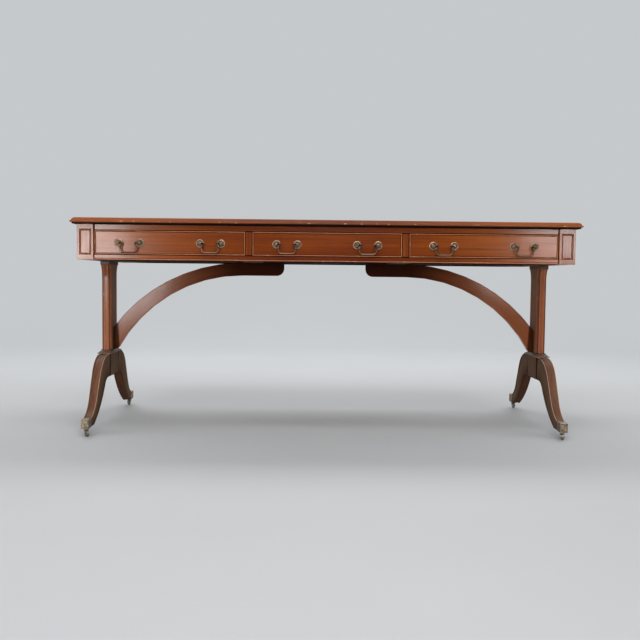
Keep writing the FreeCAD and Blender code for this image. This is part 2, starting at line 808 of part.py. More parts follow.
def column(name):
    """A flat column whose front and back flare out under the cap, with a hollow run up its four arrises."""
    piece = body(name)
    half = "column_depth / 2"
    outline = [
        (f"-{half}", "column_low"),
        (half, "column_low"),
        (half, "flare_low", "-flare_radius"),
        (f"{half} + flare_out", "column_high"),
        (f"-{half} - flare_out", "column_high", "-flare_radius"),
        (f"-{half}", "flare_low"),
    ]
    pad = feature(piece, "Pad", draw(piece, "YZ_Plane", [outline]), "column_width", both_ways=True)
    show = number(half) - TOUCH
    for sign in SIDES.values():
        for out in ENDS.values():
            arris = []
            for place, edge in enumerate(pad.Shape.Edges, start=1):
                ends = [vertex.Point for vertex in edge.Vertexes]
                rises = abs(ends[0].z - ends[1].z) > TOUCH
                if rises and all(point.x * sign > 0 and point.y * out > show for point in ends):
                    arris.append(f"Edge{place}")
            corner = (f"{sign} * column_width / 2", f"{out} * {half}", "column_hollow")
            hollow = piece.newObject("PartDesign::SubtractivePipe", "Hollow")
            hollow.Profile = draw(piece, "XY_Plane", [[corner]], "column_low")
            hollow.Spine = (pad, arris)
    return piece


def plinth(name):
    """A low moulding that slopes up from over the leg block to the column's foot on all four sides."""
    piece = body(name)
    step = "leg_height + plinth_fillet"
    ends = [
        ("plinth_depth / 2", "leg_height"),
        ("plinth_depth / 2", step),
        ("column_depth / 2 + plinth_neck", "column_low"),
    ]
    side_view = draw(piece, "YZ_Plane", [ends + mirrored(ends)])
    feature(piece, "Pad", side_view, "plinth_width", both_ways=True)
    slope = [
        ("column_width / 2 + plinth_neck", "column_low"),
        ("plinth_width / 2", step),
        ("plinth_width", step),
        ("plinth_width", "column_low + plinth_height"),
        ("column_width / 2 + plinth_neck", "column_low + plinth_height"),
    ]
    feature(piece, "Pocket", draw(piece, "XZ_Plane", [slope, mirrored(slope)]), both_ways=True)
    return piece


def sabre_leg(name):
    """One leg, reaching along +Y from the leg block to its brass cup: a rounded knee, a straight shin and
    a toe that sweeps out, thinned towards the foot and bored for the caster's stem."""
    piece = body(name)
    block = "leg_block_depth / 2"
    outline = [
        (block, "leg_height"),
        (block, "block_low"),
        ("arch_start", "block_low", "-arch_radius"),
        ("arch_y", "arch_z", "hollow_radius"),
        ("hollow_end", "toe_low"),
        ("toe_end", "toe_low"),
        ("toe_end", "toe_high"),
        ("cup_back", "toe_high"),
        ("cup_back", "cup_top + leg_proud", "-toe_radius"),
        ("shin_y", "shin_z"),
        ("knee_y", "knee_z", "knee_radius"),
        ("knee_start", "leg_height"),
    ]
    feature(piece, "Pad", draw(piece, "YZ_Plane", [outline]), "leg_block_width", both_ways=True)
    taper = [
        ("leg_block_width / 2", "knee_start"),
        ("leg_block_width", "knee_start"),
        ("leg_block_width", "cup_front"),
        ("toe_half", "cup_front"),
        ("toe_half", "cup_back"),
        ("shoulder_width / 2", "cup_back"),
    ]
    feature(piece, "Pocket", draw(piece, "XY_Plane", [taper, mirrored(taper)]), both_ways=True)
    bore = [[("0", "caster_y", "stem_radius + stem_clearance")]]
    feature(piece, "Pocket", draw(piece, "XY_Plane", bore, "toe_low"), "stem_length", back=True)
    return piece


def arched_bracket(name, sign):
    """A flat arched board from the column's foot to the underside of the frieze."""
    piece = body(name)
    outline = [
        ("bracket_end", "apron_under"),
        ("bracket_end", "bracket_low + bracket_corner", "bracket_corner"),
        ("bracket_end + bracket_corner", "bracket_low"),
        ("bracket_flat_end", "bracket_low", "-bracket_lower_radius"),
        ("column_inner - bracket_foot", "column_low"),
        ("column_inner", "column_low"),
        ("column_inner", "column_low + bracket_root", "bracket_upper_radius"),
        ("bracket_tangent", "apron_under"),
    ]
    sketch = draw(piece, "XZ_Plane", [outline if sign > 0 else mirrored(outline)])
    feature(piece, "Pad", sketch, "bracket_thickness", both_ways=True)
    return piece


def underframe():
    pieces = []
    caps = []
    blocks = []
    for side, sign in SIDES.items():
        middle = f"{sign} * column_x"
        pieces.append(put(column(f"column_{side}"), middle))
        pieces.append(put(plinth(f"plinth_{side}"), middle))
        pieces.append(arched_bracket(f"arched_bracket_{side}", sign))
        cap_half = "(column_depth / 2 + flare_out + cap_proud)"
        caps.append(board(f"cap_{side}", about(middle, "(column_width + 2 * cap_proud)"),
                          (f"-{cap_half}", cap_half), ("column_high", "apron_under")))
        blocks.append(board(f"block_{side}", about(middle, "leg_block_width"),
                            ("-leg_block_depth / 2", "leg_block_depth / 2"), ("block_low", "leg_height")))
        for end, out in ENDS.items():
            leg = sabre_leg(f"leg_{end}_{side}")
            pieces.append(put(leg, middle, turn="180" if out < 0 else "0"))
    return pieces + [group("column_caps", caps), group("leg_blocks", blocks)]


# The casters


def cup(name):
    """A square brass box that slips over the toe, bored below for the caster's stem."""
    piece = body(name)
    inner = "(cup_width / 2 - cup_wall)"
    outside = rectangle("-cup_width / 2", "cup_width / 2", "cup_back", "cup_front")
    inside = rectangle(f"-{inner}", inner, "cup_back", "cup_front - cup_front_wall")
    bore = [("0", "caster_y", "stem_radius + running_fit")]
    feature(piece, "Pad", draw(piece, "XY_Plane", [outside], "cup_rise"), "cup_height")
    hollow = draw(piece, "XY_Plane", [inside], "cup_rise + cup_wall")
    feature(piece, "Pocket", hollow, "cup_height - 2 * cup_wall", back=True)
    feature(piece, "Pocket", draw(piece, "XY_Plane", [bore], "cup_rise"), "cup_wall", back=True)
    return piece


def fork(name):
    """Two cheeks under a round crown, with the stem that turns in the cup. The wheel trails along +Y."""
    piece = body(name)
    cheeks = [
        ("-cheek_root", "crown_low + crown_thickness / 2"),
        ("-cheek_root", "crown_low"),
        ("caster_trail - cheek_round", "wheel_radius", "cheek_round + running_fit"),
        ("caster_trail + cheek_round", "wheel_radius"),
        ("cheek_root", "crown_low + crown_thickness / 2"),
    ]
    feature(piece, "Pad", draw(piece, "YZ_Plane", [cheeks]), "2 * fork_half_width", both_ways=True)
    slot = rectangle("-crown_radius", "caster_trail + wheel_radius", "0", "crown_top")
    feature(piece, "Pocket", draw(piece, "YZ_Plane", [slot]), "2 * fork_half_gap", both_ways=True)
    crown = draw(piece, "XY_Plane", [[("0", "0", "crown_radius")]], "crown_low")
    feature(piece, "Pad", crown, "crown_thickness")
    stem = draw(piece, "XY_Plane", [[("0", "0", "stem_radius")]], "crown_top")
    feature(piece, "Pad", stem, "stem_length")
    bore = [[("caster_trail", "wheel_radius", "axle_radius")]]
    feature(piece, "Pocket", draw(piece, "YZ_Plane", bore), both_ways=True)
    return piece


def axle(name):
    end = "(fork_half_width + axle_head_thickness)"
    outline = [(f"-{end}", "0"), (f"-{end}", "axle_head_radius"), ("-fork_half_width", "axle_head_radius"),
               ("-fork_half_width", "axle_radius"), ("fork_half_width", "axle_radius"),
               ("fork_half_width", "axle_head_radius"), (end, "axle_head_radius"), (end, "0")]
    return turned(body(name), outline)


def wheel(name):
    """A solid brass wheel with a tread eased at both edges and dished faces."""
    half = "wheel_width / 2"
    dish = f"({half} - wheel_dish)"
    edge = "wheel_radius - tread_drop"
    tread = "tread_width / 2"
    outline = [
        (f"-{half}", "axle_radius + running_fit"),
        (f"-{half}", "wheel_hub"),
        (f"-{dish}", "wheel_hub"),
        (f"-{dish}", "wheel_rim"),
        (f"-{half}", "wheel_rim"),
        (f"-{half}", edge),
        (f"-{tread}", "wheel_radius"),
        (tread, "wheel_radius"),
        (half, edge),
        (half, "wheel_rim"),
        (dish, "wheel_rim"),
        (dish, "wheel_hub"),
        (half, "wheel_hub"),
        (half, "axle_radius + running_fit"),
    ]
    return turned(body(name), outline)


def casters():
    pieces = []
    cups = []
    for end, out in ENDS.items():
        for side, sign in SIDES.items():
            where = f"{end}_{side}"
            turn = CASTER_TURN[where]
            x = f"{sign} * column_x"
            y = f"{out} * caster_y"
            cups.append(put(cup(f"cup_{where}"), x, turn="180" if out < 0 else "0"))
            holder = put(fork(f"fork_{where}"), x, y, turn=str(turn))
            pin_x = f"{x} - caster_trail * sin({turn} deg)"
            pin_y = f"{y} + caster_trail * cos({turn} deg)"
            pin = put(axle(f"axle_{where}"), pin_x, pin_y, "wheel_radius", str(turn + 90))
            pieces.append(group(f"caster_fork_{where}", [holder, pin]))
            pieces.append(put(wheel(f"caster_wheel_{where}"), pin_x, pin_y, "wheel_radius", str(turn + 90)))
    return pieces + [group("caster_cups", cups)]


# Build, check and write

nodes = [table_top()] + frieze() + [bracket_bearer()] + drawer_carcase() + [sham_drawers()]
nodes += drawers() + underframe() + casters()
doc.recompute()
for item in doc.Objects:
    if "Invalid" in item.State or "Error" in item.State:
        raise ValueError(f"{item.Label} failed: {item.State}")
for node in nodes:
    if node.Shape.isNull() or not node.Shape.isValid():
        raise ValueError(f"{node.Label} has no valid shape")
for node in nodes:
    node.Shape.exportStep(f"parts/{node.Label}.step")
print(len(nodes), "nodes,", sum(len(node.Shape.Solids) for node in nodes), "solids")
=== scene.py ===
# %% [markdown]
# # A mahogany library table
#
# The table has three drawers in a long frieze, a flat column at each end on a pair of sabre legs with brass
# casters, and an arched bracket from each column to the frieze. A CAD model already says where every piece
# is and how it moves. This lesson gives the pieces what the eye expects of old polished furniture: eased
# edges, true mouldings, grain that runs the way the wood was cut, and wear where hands and feet have been.
# Some light and shade is painted into the colours too: darker quirks, gaps and undersides, lighter ends.
#
# Everything is in metres, in the frame of the CAD model: X along the table, Y from the drawers to the back.

# %% The CAD frame
import json
from dataclasses import dataclass

import bmesh
import bpy
import numpy as np
from mathutils import Matrix, Vector


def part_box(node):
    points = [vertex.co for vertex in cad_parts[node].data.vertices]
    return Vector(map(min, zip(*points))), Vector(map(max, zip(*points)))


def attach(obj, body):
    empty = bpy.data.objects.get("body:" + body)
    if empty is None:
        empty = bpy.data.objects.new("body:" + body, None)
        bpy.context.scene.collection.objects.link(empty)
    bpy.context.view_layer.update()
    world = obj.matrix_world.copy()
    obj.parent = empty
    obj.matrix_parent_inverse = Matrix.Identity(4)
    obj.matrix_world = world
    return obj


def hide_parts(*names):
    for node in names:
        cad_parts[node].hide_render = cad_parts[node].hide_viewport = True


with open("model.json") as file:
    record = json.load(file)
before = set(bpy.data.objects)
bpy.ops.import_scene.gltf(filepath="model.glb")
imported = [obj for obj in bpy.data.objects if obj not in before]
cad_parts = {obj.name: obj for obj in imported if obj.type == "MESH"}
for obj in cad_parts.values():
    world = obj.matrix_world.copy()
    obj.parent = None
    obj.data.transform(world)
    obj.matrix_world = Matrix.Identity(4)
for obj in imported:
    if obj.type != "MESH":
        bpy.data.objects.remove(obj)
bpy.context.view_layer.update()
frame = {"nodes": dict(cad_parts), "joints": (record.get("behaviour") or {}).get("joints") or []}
MM = 0.001
SIDES = {"left": -1, "right": 1}
ENDS = {"front": -1, "back": 1}
# The four corners, each with its name and the way that it faces along X and Y
CORNERS = [(f"{end}_{side}", hand, out) for end, out in ENDS.items() for side, hand in SIDES.items()]
DRAWERS = ("left", "middle", "right")


def spot(node):
    """The lowest and highest corner of a CAD node, as arrays."""
    low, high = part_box(node)
    return np.array(low), np.array(high)


# %% [markdown]
# ## Sheets
#
# Every new piece is made of sheets: grids of points, each a function of two parameters. A sheet also knows
# how rubbed each point is, from 1 on an arris that hands polish to -1, which marks painted shade and old
# dirt in corners, gaps and undersides, and, where the grain bends, how far the point lies along and across
# it. On the bails, high values also stand for a painted highlight. Grids could be joined by hand with care
# for their seams. It is simpler to let each sheet repeat its first row where it closes, and to merge points
# that lie together once the mesh is made.

# %% Sheets


@dataclass
class Sheet:
    """A grid of points, rows by columns by 3, with its wear and painted light and shade, and its place in
    the grain.
    """
    points: np.ndarray
    wear_and_painted_light: np.ndarray
    grain: np.ndarray


def sheet(points, wear_and_painted_light=0.0, grain=None):
    """Fills in what a sheet doesn't say: neither wear nor painted shade, and grain that follows the object's
    own axes.
    """
    points = np.asarray(points, float)
    wear_and_painted_light = np.broadcast_to(np.asarray(wear_and_painted_light, float), points.shape[:2])
    return Sheet(points, wear_and_painted_light, points if grain is None else np.asarray(grain, float))


def quads_of(sheets):
    """The corners of every grid cell, with each sheet's points numbered on from the one before."""
    start = 0
    cells = []
    for part in sheets:
        rows, columns = part.points.shape[:2]
        index = start + np.arange(rows * columns).reshape(rows, columns)
        corners = (index[:-1, :-1], index[:-1, 1:], index[1:, 1:], index[1:, :-1])
        cells.append(np.stack(corners, axis=-1).reshape(-1, 4))
        start += rows * columns
    return np.vstack(cells)


print("a sheet of 3 by 3 points has", len(quads_of([sheet(np.zeros((3, 3, 3)))])), "faces")

# %% From sheets to a piece
JOIN = 0.002 * MM
CREASE = np.radians(38)
SIDEWAYS = np.cos(np.radians(25))


def piece(name, sheets, finish, body, node, dull_grey_sides=False):
    """Joins closed sheets into one mesh, rides it on a body and lets it stand for a CAD node. With dull
    sides, faces that look along X are marked as never polished, and are painted greyer as a painted
    reflection."""
    quads = quads_of(sheets)
    points = np.vstack([part.points.reshape(-1, 3) for part in sheets])
    wear_and_painted_light = np.concatenate([part.wear_and_painted_light.ravel() for part in sheets])
    grain = np.vstack([part.grain.reshape(-1, 3) for part in sheets])
    mesh = bpy.data.meshes.new(name)
    mesh.from_pydata(points.tolist(), [], quads.tolist())
    mesh.attributes.new("wear_and_painted_light", "FLOAT", "CORNER").data.foreach_set("value", wear_and_painted_light[quads].ravel())
    mesh.attributes.new("grain", "FLOAT_VECTOR", "CORNER").data.foreach_set("vector", grain[quads].ravel())
    work = bmesh.new()
    work.from_mesh(mesh)
    bmesh.ops.remove_doubles(work, verts=work.verts, dist=JOIN)
    bmesh.ops.recalc_face_normals(work, faces=work.faces)
    loose = sum(not edge.is_manifold for edge in work.edges)
    work.to_mesh(mesh)
    work.free()
    mesh.shade_smooth()
    mesh.set_sharp_from_angle(angle=CREASE)
    mesh.materials.append(finish)
    # Dull faces are also painted greyer in the finish, a painted reflection of the grey they face
    if dull_grey_sides:
        facing = np.zeros((len(mesh.polygons), 3))
        mesh.polygons.foreach_get("normal", facing.ravel())
        sideways = (np.abs(facing[:, 0]) > SIDEWAYS).astype(float)
        mesh.attributes.new("dull", "FLOAT", "FACE").data.foreach_set("value", sideways)
    made = bpy.data.objects.new(name, mesh)
    bpy.context.scene.collection.objects.link(made)
    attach(made, body)
    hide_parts(node)
    print(f"{name}: {len(mesh.polygons)} faces, {loose} open edges")


def frame_piece(node, ending, sheets, finish, dull_grey_sides=False):
    """A piece of the table's frame, which doesn't move. It stands for one CAD node and is named after it."""
    piece(f"{node}_{ending}", sheets, finish, "table", node, dull_grey_sides)


print("points closer than", JOIN / MM, "mm become one")

# %% [markdown]
# ## Finishes
#
# Colours are written as sRGB hex values, as a colour picker gives them, and turned to linear light by one
# function. One more function adds a shader node. Each pattern's scale comes from a size in millimetres, so
# the grain of a rail and the grain of a drawer front are the same wood.
#
# An old finish is many thin things one over another: wood, stain, polish, rubbed spots, dirt, and here
# painted light and shade too. It could be one painted picture, but then each piece would need its own. Here
# a finish is a ground colour with layers over it, and each layer has a share, which is a pattern or the
# wear and painted shade of the piece.

# %% Colour and nodes


def linear(code):
    """sRGB hex to linear light: c / 12.92 where c is small, otherwise ((c + 0.055) / 1.055) to the 2.4."""
    channel = np.array([int(code[place:place + 2], 16) for place in (1, 3, 5)]) / 255
    light = np.where(channel <= 0.04045, channel / 12.92, ((channel + 0.055) / 1.055) ** 2.4)
    return (*light, 1.0)


def add(tree, kind, inputs=None, **settings):
    """Adds a shader node. An input is a plain value, or another node's output to link."""
    node = tree.nodes.new("ShaderNode" + kind)
    for name, value in settings.items():
        setattr(node, name, value)
    for socket, value in (inputs or {}).items():
        if isinstance(value, bpy.types.NodeSocket):
            tree.links.new(value, node.inputs[socket])
        else:
            node.inputs[socket].default_value = value
    return node


def new_finish(name):
    """A new material, with its tree of nodes and its shader."""
    finish = bpy.data.materials.new(name)
    finish.use_nodes = True
    return finish, finish.node_tree, finish.node_tree.nodes["Principled BSDF"]


print("sRGB #808080 is", round(linear("#808080")[0], 3), "in linear light")

# %% Patterns and layers


def patch(tree, place, length, width, stretch=None, detail=3.0):
    """Noise whose blots are about length mm along the grain and width mm across it. stretch gives the two
    values of the noise that become 0 and 1, with a smooth step between them."""
    size = (1 / (length * MM), 1 / (width * MM), 1 / (width * MM))
    scaled = add(tree, "Mapping", {"Vector": place, "Scale": size})
    noise = add(tree, "TexNoise", {"Vector": scaled.outputs[0], "Scale": 1.0, "Detail": detail})
    if stretch is None:
        return noise.outputs[0]
    ends = {"Value": noise.outputs[0], "From Min": stretch[0], "From Max": stretch[1]}
    return add(tree, "MapRange", ends, interpolation_type="SMOOTHSTEP").outputs[0]


def worn(tree, start, full):
    """The piece's own wear attribute, which also carries painted light and shade, as a share: 0 at start, 1
    at full, with a smooth step between them.
    """
    wear_and_painted_light = add(tree, "Attribute", attribute_name="wear_and_painted_light").outputs["Fac"]
    ends = {"Value": wear_and_painted_light, "From Min": start, "From Max": full}
    return add(tree, "MapRange", ends, interpolation_type="SMOOTHSTEP").outputs[0]


def layered(tree, ground, *layers):
    """A ground colour with layers over it. Each is (share, strength, colour), and covers what lies under it
    by share times strength."""
    colour = linear(ground)
    for share, strength, tint in layers:
        cover = add(tree, "Math", {0: share, 1: strength}, operation="MULTIPLY").outputs[0]
        colour = add(tree, "Mix", {0: cover, 6: colour, 7: linear(tint)}, data_type="RGBA").outputs[2]
    return colour


print("blots of 50 mm have a scale of", round(1 / (50 * MM)), "to the metre")

# %% [markdown]
# ### Polished mahogany
#
# Mahogany is red-brown with broad ribbons, darker lines along the growth and short open pores. It was
# stained, filled and French polished: thin shellac over colour, which gives a soft, wide sheen and not a
# mirror. The polish wears through on arrises to paler wood and never covered the sides of columns and legs.
# Quirks, gaps and undersides are painted dark, as their shade and some old dirt, and the unpolished sides
# are painted greyer, as a painted reflection. The two ends of the table are painted lighter and more orange,
# as painted light. One function makes it for every cut of the wood: the grain runs along X, Y or Z of the
# object, or follows the piece's own grain attribute. The shellac is the shader's coat, so the wood under it
# can be matt.

# %% The way of the grain
GRAIN_TURN = {"X": (0, 0, 0), "Y": (0, 0, -np.pi / 2), "Z": (0, np.pi / 2, 0)}


def along_grain(tree, grain):
    """Where a point lies in the wood, first along the grain and then across it. Laid grain is the piece's
    own attribute. Otherwise Object coordinates are turned so that their X runs along the grain."""
    if grain == "laid":
        return add(tree, "Attribute", attribute_name="grain").outputs["Vector"]
    seat = add(tree, "TexCoord").outputs["Object"]
    return add(tree, "Mapping", {"Vector": seat, "Rotation": GRAIN_TURN[grain]}).outputs[0]


print("grain runs along", " or ".join(GRAIN_TURN), "or as a piece lays it")

# %% French polish
POLISH_BLOT = {"length": 110, "width": 110, "stretch": (0.3, 0.7)}
# The wear at which the polish starts to thin and is thinnest
THINNED = (0.0, 0.5)
THIN_SHARE = 0.7
MATT_ROUGHNESS, POLISH_SMOOTHS = 0.5, 0.3
BLOT_ROUGHENS, DULL_ROUGHENS, THIN_ROUGHENS, DIRT_AND_SHADE_ROUGHENS = 0.06, 0.35, 0.3, 0.8
BLOT_LIFTS = 0.3


def shellac(tree, shader, place, dull, dirt_and_shade, polish, haze):
    """The shader's coat: polish, less what blots lift, times what grime and painted shade, dull faces and
    thin arrises leave. Roughness is that of matt wood less what polish smooths, and each of these adds its
    share.
    haze is the roughness of the coat."""
    blot = patch(tree, place, **POLISH_BLOT)
    thin = add(tree, "Math", {0: worn(tree, *THINNED), 1: THIN_SHARE}, operation="MULTIPLY").outputs[0]
    rough = MATT_ROUGHNESS - POLISH_SMOOTHS * polish
    gains = ((blot, BLOT_ROUGHENS), (dull, DULL_ROUGHENS), (thin, THIN_ROUGHENS), (dirt_and_shade, DIRT_AND_SHADE_ROUGHENS))
    for share, gain in gains:
        step = add(tree, "Math", {0: share, 1: gain, 2: rough}, operation="MULTIPLY_ADD", use_clamp=True)
        rough = step.outputs[0]
    tree.links.new(rough, shader.inputs["Roughness"])
    bare = add(tree, "Math", {0: dirt_and_shade, 1: dull}, operation="MAXIMUM").outputs[0]
    bare = add(tree, "Math", {0: bare, 1: thin}, operation="MAXIMUM").outputs[0]
    covered = add(tree, "Math", {0: 1.0, 1: bare}, operation="SUBTRACT").outputs[0]
    coat = add(tree, "Math", {0: blot, 1: -BLOT_LIFTS * polish, 2: polish}, operation="MULTIPLY_ADD")
    shine = add(tree, "Math", {0: coat.outputs[0], 1: covered}, operation="MULTIPLY").outputs[0]
    tree.links.new(shine, shader.inputs["Coat Weight"])
    shader.inputs["Coat Roughness"].default_value = haze


print("full polish brings roughness to", round(MATT_ROUGHNESS - POLISH_SMOOTHS, 2))

# %% Polished mahogany
RIBBON = {"length": 600, "width": 50, "stretch": (0.34, 0.68)}
GROWTH_LINE = {"length": 350, "width": 6, "stretch": (0.42, 0.72), "detail": 4.0}
# Real pores are a third of this size, too fine to show from where the table is seen whole
PORE = {"length": 26, "width": 1.6, "stretch": (0.62, 0.74), "detail": 1.0}
NICK = {"length": 18, "width": 9, "stretch": (0.60, 0.66), "detail": 4.0}
GROWTH_DARKENS, PORE_DARKENS, DULL_SIDE_GREY_REFLECTION = 0.45, 0.35, 0.75
# Where along X, in metres from the middle, the painted light on the ends starts and is full
LIT_ENDS = (0.1, 0.75)
# The wear value at which each kind of wear, and the painted shade, starts and is full
DIRT_AND_SHADE, NICKED, RUBBED = (-0.15, -0.9), (0.5, 0.9), (0.2, 0.9)
GROWTH_RELIEF = 0.5
FILLED_PORES = {"Strength": 0.25, "Distance": 0.25 * MM}


def mahogany(name, grain, deep, fair, rub=0.2, polish=1.0, end_light=0.0, haze=0.16, arris="#c87a50"):
    """French polished mahogany between a deep and a fair colour. rub says how far its arrises have worn to
    the arris colour; nicks through to bare wood are sparse and only on arrises. Grime and painted shade, and
    dull faces, have no polish, and dull faces are painted greyer, as a painted reflection. Less polish is
    more matt. The setting for the ends says how far the two ends of the table are painted lighter and more
    orange, as painted light, and haze how scratched the polish is."""
    finish, tree, shader = new_finish(name)
    place = along_grain(tree, grain)
    seat = add(tree, "TexCoord").outputs["Object"]
    along = add(tree, "SeparateXYZ", {0: seat}).outputs["X"]
    from_middle = add(tree, "Math", {0: along}, operation="ABSOLUTE").outputs[0]
    ends = {"Value": from_middle, "From Min": LIT_ENDS[0], "From Max": LIT_ENDS[1]}
    lit_ends = add(tree, "MapRange", ends, interpolation_type="SMOOTHSTEP").outputs[0]
    dull = add(tree, "Attribute", attribute_name="dull").outputs["Fac"]
    growth = patch(tree, place, **GROWTH_LINE)
    pore = patch(tree, place, **PORE)
    dirt_and_shade = worn(tree, *DIRT_AND_SHADE)
    nick = add(tree, "Math", {0: worn(tree, *NICKED), 1: patch(tree, place, **NICK)}, operation="MULTIPLY")
    # Painted light on the ends, a painted grey reflection on dull faces, painted shade and grime in
    # near-black
    colour = layered(tree, deep,
                     (patch(tree, place, **RIBBON), 1.0, fair),
                     (lit_ends, end_light, "#a2541c"),
                     (growth, GROWTH_DARKENS, "#4a1a0a"),
                     (pore, PORE_DARKENS, "#2a0e06"),
                     (dull, DULL_SIDE_GREY_REFLECTION, "#68523e"),
                     (worn(tree, *RUBBED), rub, arris),
                     (nick.outputs[0], 1.0, "#cf9a68"),
                     (dirt_and_shade, 1.0, "#140805"))
    tree.links.new(colour, shader.inputs["Base Color"])
    shellac(tree, shader, place, dull, dirt_and_shade, polish, haze)
    relief = add(tree, "Math", {0: growth, 1: GROWTH_RELIEF, 2: pore}, operation="MULTIPLY_ADD").outputs[0]
    bump = add(tree, "Bump", {"Height": relief, **FILLED_PORES}, invert=True)
    tree.links.new(bump.outputs[0], shader.inputs["Normal"])
    shader.inputs["Specular IOR Level"].default_value = 0.14
    print(f"{name}: {len(tree.nodes)} nodes")
    return finish


print("pores are drawn", PORE["width"], "mm wide and", PORE["length"], "mm long")

# %% [markdown]
# ### The table's boards
#
# Each kind of piece came from another board and has led another life. The top is half matt from use, and
# legs, plinths and caps are brown and have lost most of their polish. The caps are painted darker, as the
# shade under the frieze, the plinths' grey is partly a painted reflection, and the columns are painted
# fairer than the frieze, as painted light. One mahogany for all would be simpler, but would look moulded in
# one go. So each kind has its own colours, rub and polish.

# %% The table's mahogany
top_mahogany = mahogany("french_polished_mahogany_top", "X", "#5a260c", "#76380f", rub=0.12, polish=0.5,
                        end_light=0.6, haze=0.3)
rail_mahogany = mahogany("french_polished_mahogany_rails", "X", "#64280a", "#80380c", rub=0.7, end_light=0.6)
side_mahogany = mahogany("french_polished_mahogany_ends", "Y", "#64280a", "#863e10", rub=0.5, polish=0.3,
                         haze=0.3)
upright_mahogany = mahogany("french_polished_mahogany_uprights", "Z", "#70300e", "#964c18", rub=0.5)
front_mahogany = mahogany("french_polished_mahogany_veneer", "X", "#6c2c08", "#843b0c", end_light=0.75)
# The beads' pale crowns are partly real wear and partly a painted highlight
bead_mahogany = mahogany("rubbed_mahogany_beads", "laid", "#6c300e", "#8c4a1c", rub=0.75, end_light=0.4)
# The columns' fair colours are partly painted light, for the light that falls on their fronts
column_mahogany = mahogany("french_polished_mahogany_columns", "Z", "#8c4522", "#b0643a", rub=0.5)
leg_mahogany = mahogany("worn_mahogany_legs", "laid", "#5e3a2a", "#785038", rub=0.8, polish=0.06,
                        arris="#d2b094")
# The plinths' greyish colours are partly a painted reflection of the grey above them
foot_mahogany = mahogany("worn_mahogany_plinths", "X", "#5a463a", "#74604f", rub=0.4, polish=0.25,
                         arris="#b09884")
# The caps' dark colours are partly painted shade, for the shade under the frieze
cap_mahogany = mahogany("worn_mahogany_caps", "X", "#4a342a", "#5c453a", rub=0.3, polish=0.15,
                        arris="#8a7060")
bracket_mahogany = mahogany("french_polished_mahogany_brackets", "laid", "#5a1f0a", "#803a10", polish=0.75,
                            end_light=0.9)

# %% [markdown]
# ### Plain inside woods
#
# Nobody polishes the inside. Drawer linings are planed oak, pale with long straight pores, and the runners
# and bearers are softwood with wide, faint growth rings. Both are dry and matt, so they need no coat. Rings
# could be bands of a Wave texture, but long stretched noise wavers more like a sawn board.

# %% Oak and softwood
RING_LENGTH = 90
RING_STRETCH = (0.4, 0.7)
GRIME = {"length": 140, "width": 90, "stretch": (0.35, 0.75)}
GRIME_DARKENS = 0.35
PLANED_ROUGHNESS, RING_SMOOTHS = 0.72, 0.12
SAWN_PORES = {"Strength": 0.2, "Distance": 0.3 * MM}


def planed(name, grain, pale, line, ring):
    """Bare planed wood: pale ground, darker lines ring mm apart that waver with the grain, and old grime."""
    finish, tree, shader = new_finish(name)
    place = along_grain(tree, grain)
    growth = patch(tree, place, RING_LENGTH * ring, ring, RING_STRETCH)
    grime = patch(tree, place, **GRIME)
    colour = layered(tree, pale, (growth, 1.0, line), (grime, GRIME_DARKENS, "#5c4530"))
    tree.links.new(colour, shader.inputs["Base Color"])
    rough = {0: growth, 1: -RING_SMOOTHS, 2: PLANED_ROUGHNESS}
    tree.links.new(add(tree, "Math", rough, operation="MULTIPLY_ADD").outputs[0], shader.inputs["Roughness"])
    bump = add(tree, "Bump", {"Height": growth, **SAWN_PORES}, invert=True)
    tree.links.new(bump.outputs[0], shader.inputs["Normal"])
    shader.inputs["Specular IOR Level"].default_value = 0.1
    print(f"{name}: {len(tree.nodes)} nodes")
    return finish


oak_lining = planed("planed_oak_lining", "Y", "#b8956a", "#96703f", ring=3)
carcase_softwood = planed("planed_softwood_carcase", "Y", "#543c28", "#3e2a1a", ring=7)
# The bearer and the drawer stops are painted almost black, as the shade under the frieze
shade_dark_softwood_bearer = planed("softwood_bearer_painted_dark", "X", "#33231a", "#241710", ring=7)

# %% [markdown]
# ### Old brass
#
# The handles are lacquered brass gone brown, bright only where fingers rub. The casters are paler and dull,
# under a grey film. Both are metals, so they keep the default index of refraction, and the wear attribute
# decides between tarnish in the hollows and bare metal on the crests. On the bails it also gives a painted
# highlight in front and painted shade on the sides and back, and on the caster boxes painted shade on the
# sides. A painted mask could decide that too, but the profiles already know their crests.

# %% Brass
BRASS_BLOT = {"length": 7, "width": 7, "stretch": (0.35, 0.7)}
CASTING_GRIT = {"length": 1.2, "width": 1.2, "detail": 2.0}
CAST_SKIN = {"Strength": 0.12, "Distance": 0.2 * MM}
TARNISHED, FINGERED = (-0.1, -0.8), (0.25, 0.9)
BLOT_DULLS = 0.18


def brass(name, film, bare, tarnish, rough):
    """Cast brass: a film colour over all, bare metal on crests, tarnish in hollows, and small blots."""
    finish, tree, shader = new_finish(name)
    place = add(tree, "TexCoord").outputs["Object"]
    blot = patch(tree, place, **BRASS_BLOT)
    colour = layered(tree, film, (blot, 1.0, tarnish), (worn(tree, *TARNISHED), 1.0, tarnish),
                     (worn(tree, *FINGERED), 1.0, bare))
    tree.links.new(colour, shader.inputs["Base Color"])
    dull = add(tree, "Math", {0: blot, 1: BLOT_DULLS, 2: rough}, operation="MULTIPLY_ADD").outputs[0]
    tree.links.new(dull, shader.inputs["Roughness"])
    bump = add(tree, "Bump", {"Height": patch(tree, place, **CASTING_GRIT), **CAST_SKIN})
    tree.links.new(bump.outputs[0], shader.inputs["Normal"])
    shader.inputs["Metallic"].default_value = 0.9
    print(f"{name}: {len(tree.nodes)} nodes")
    return finish


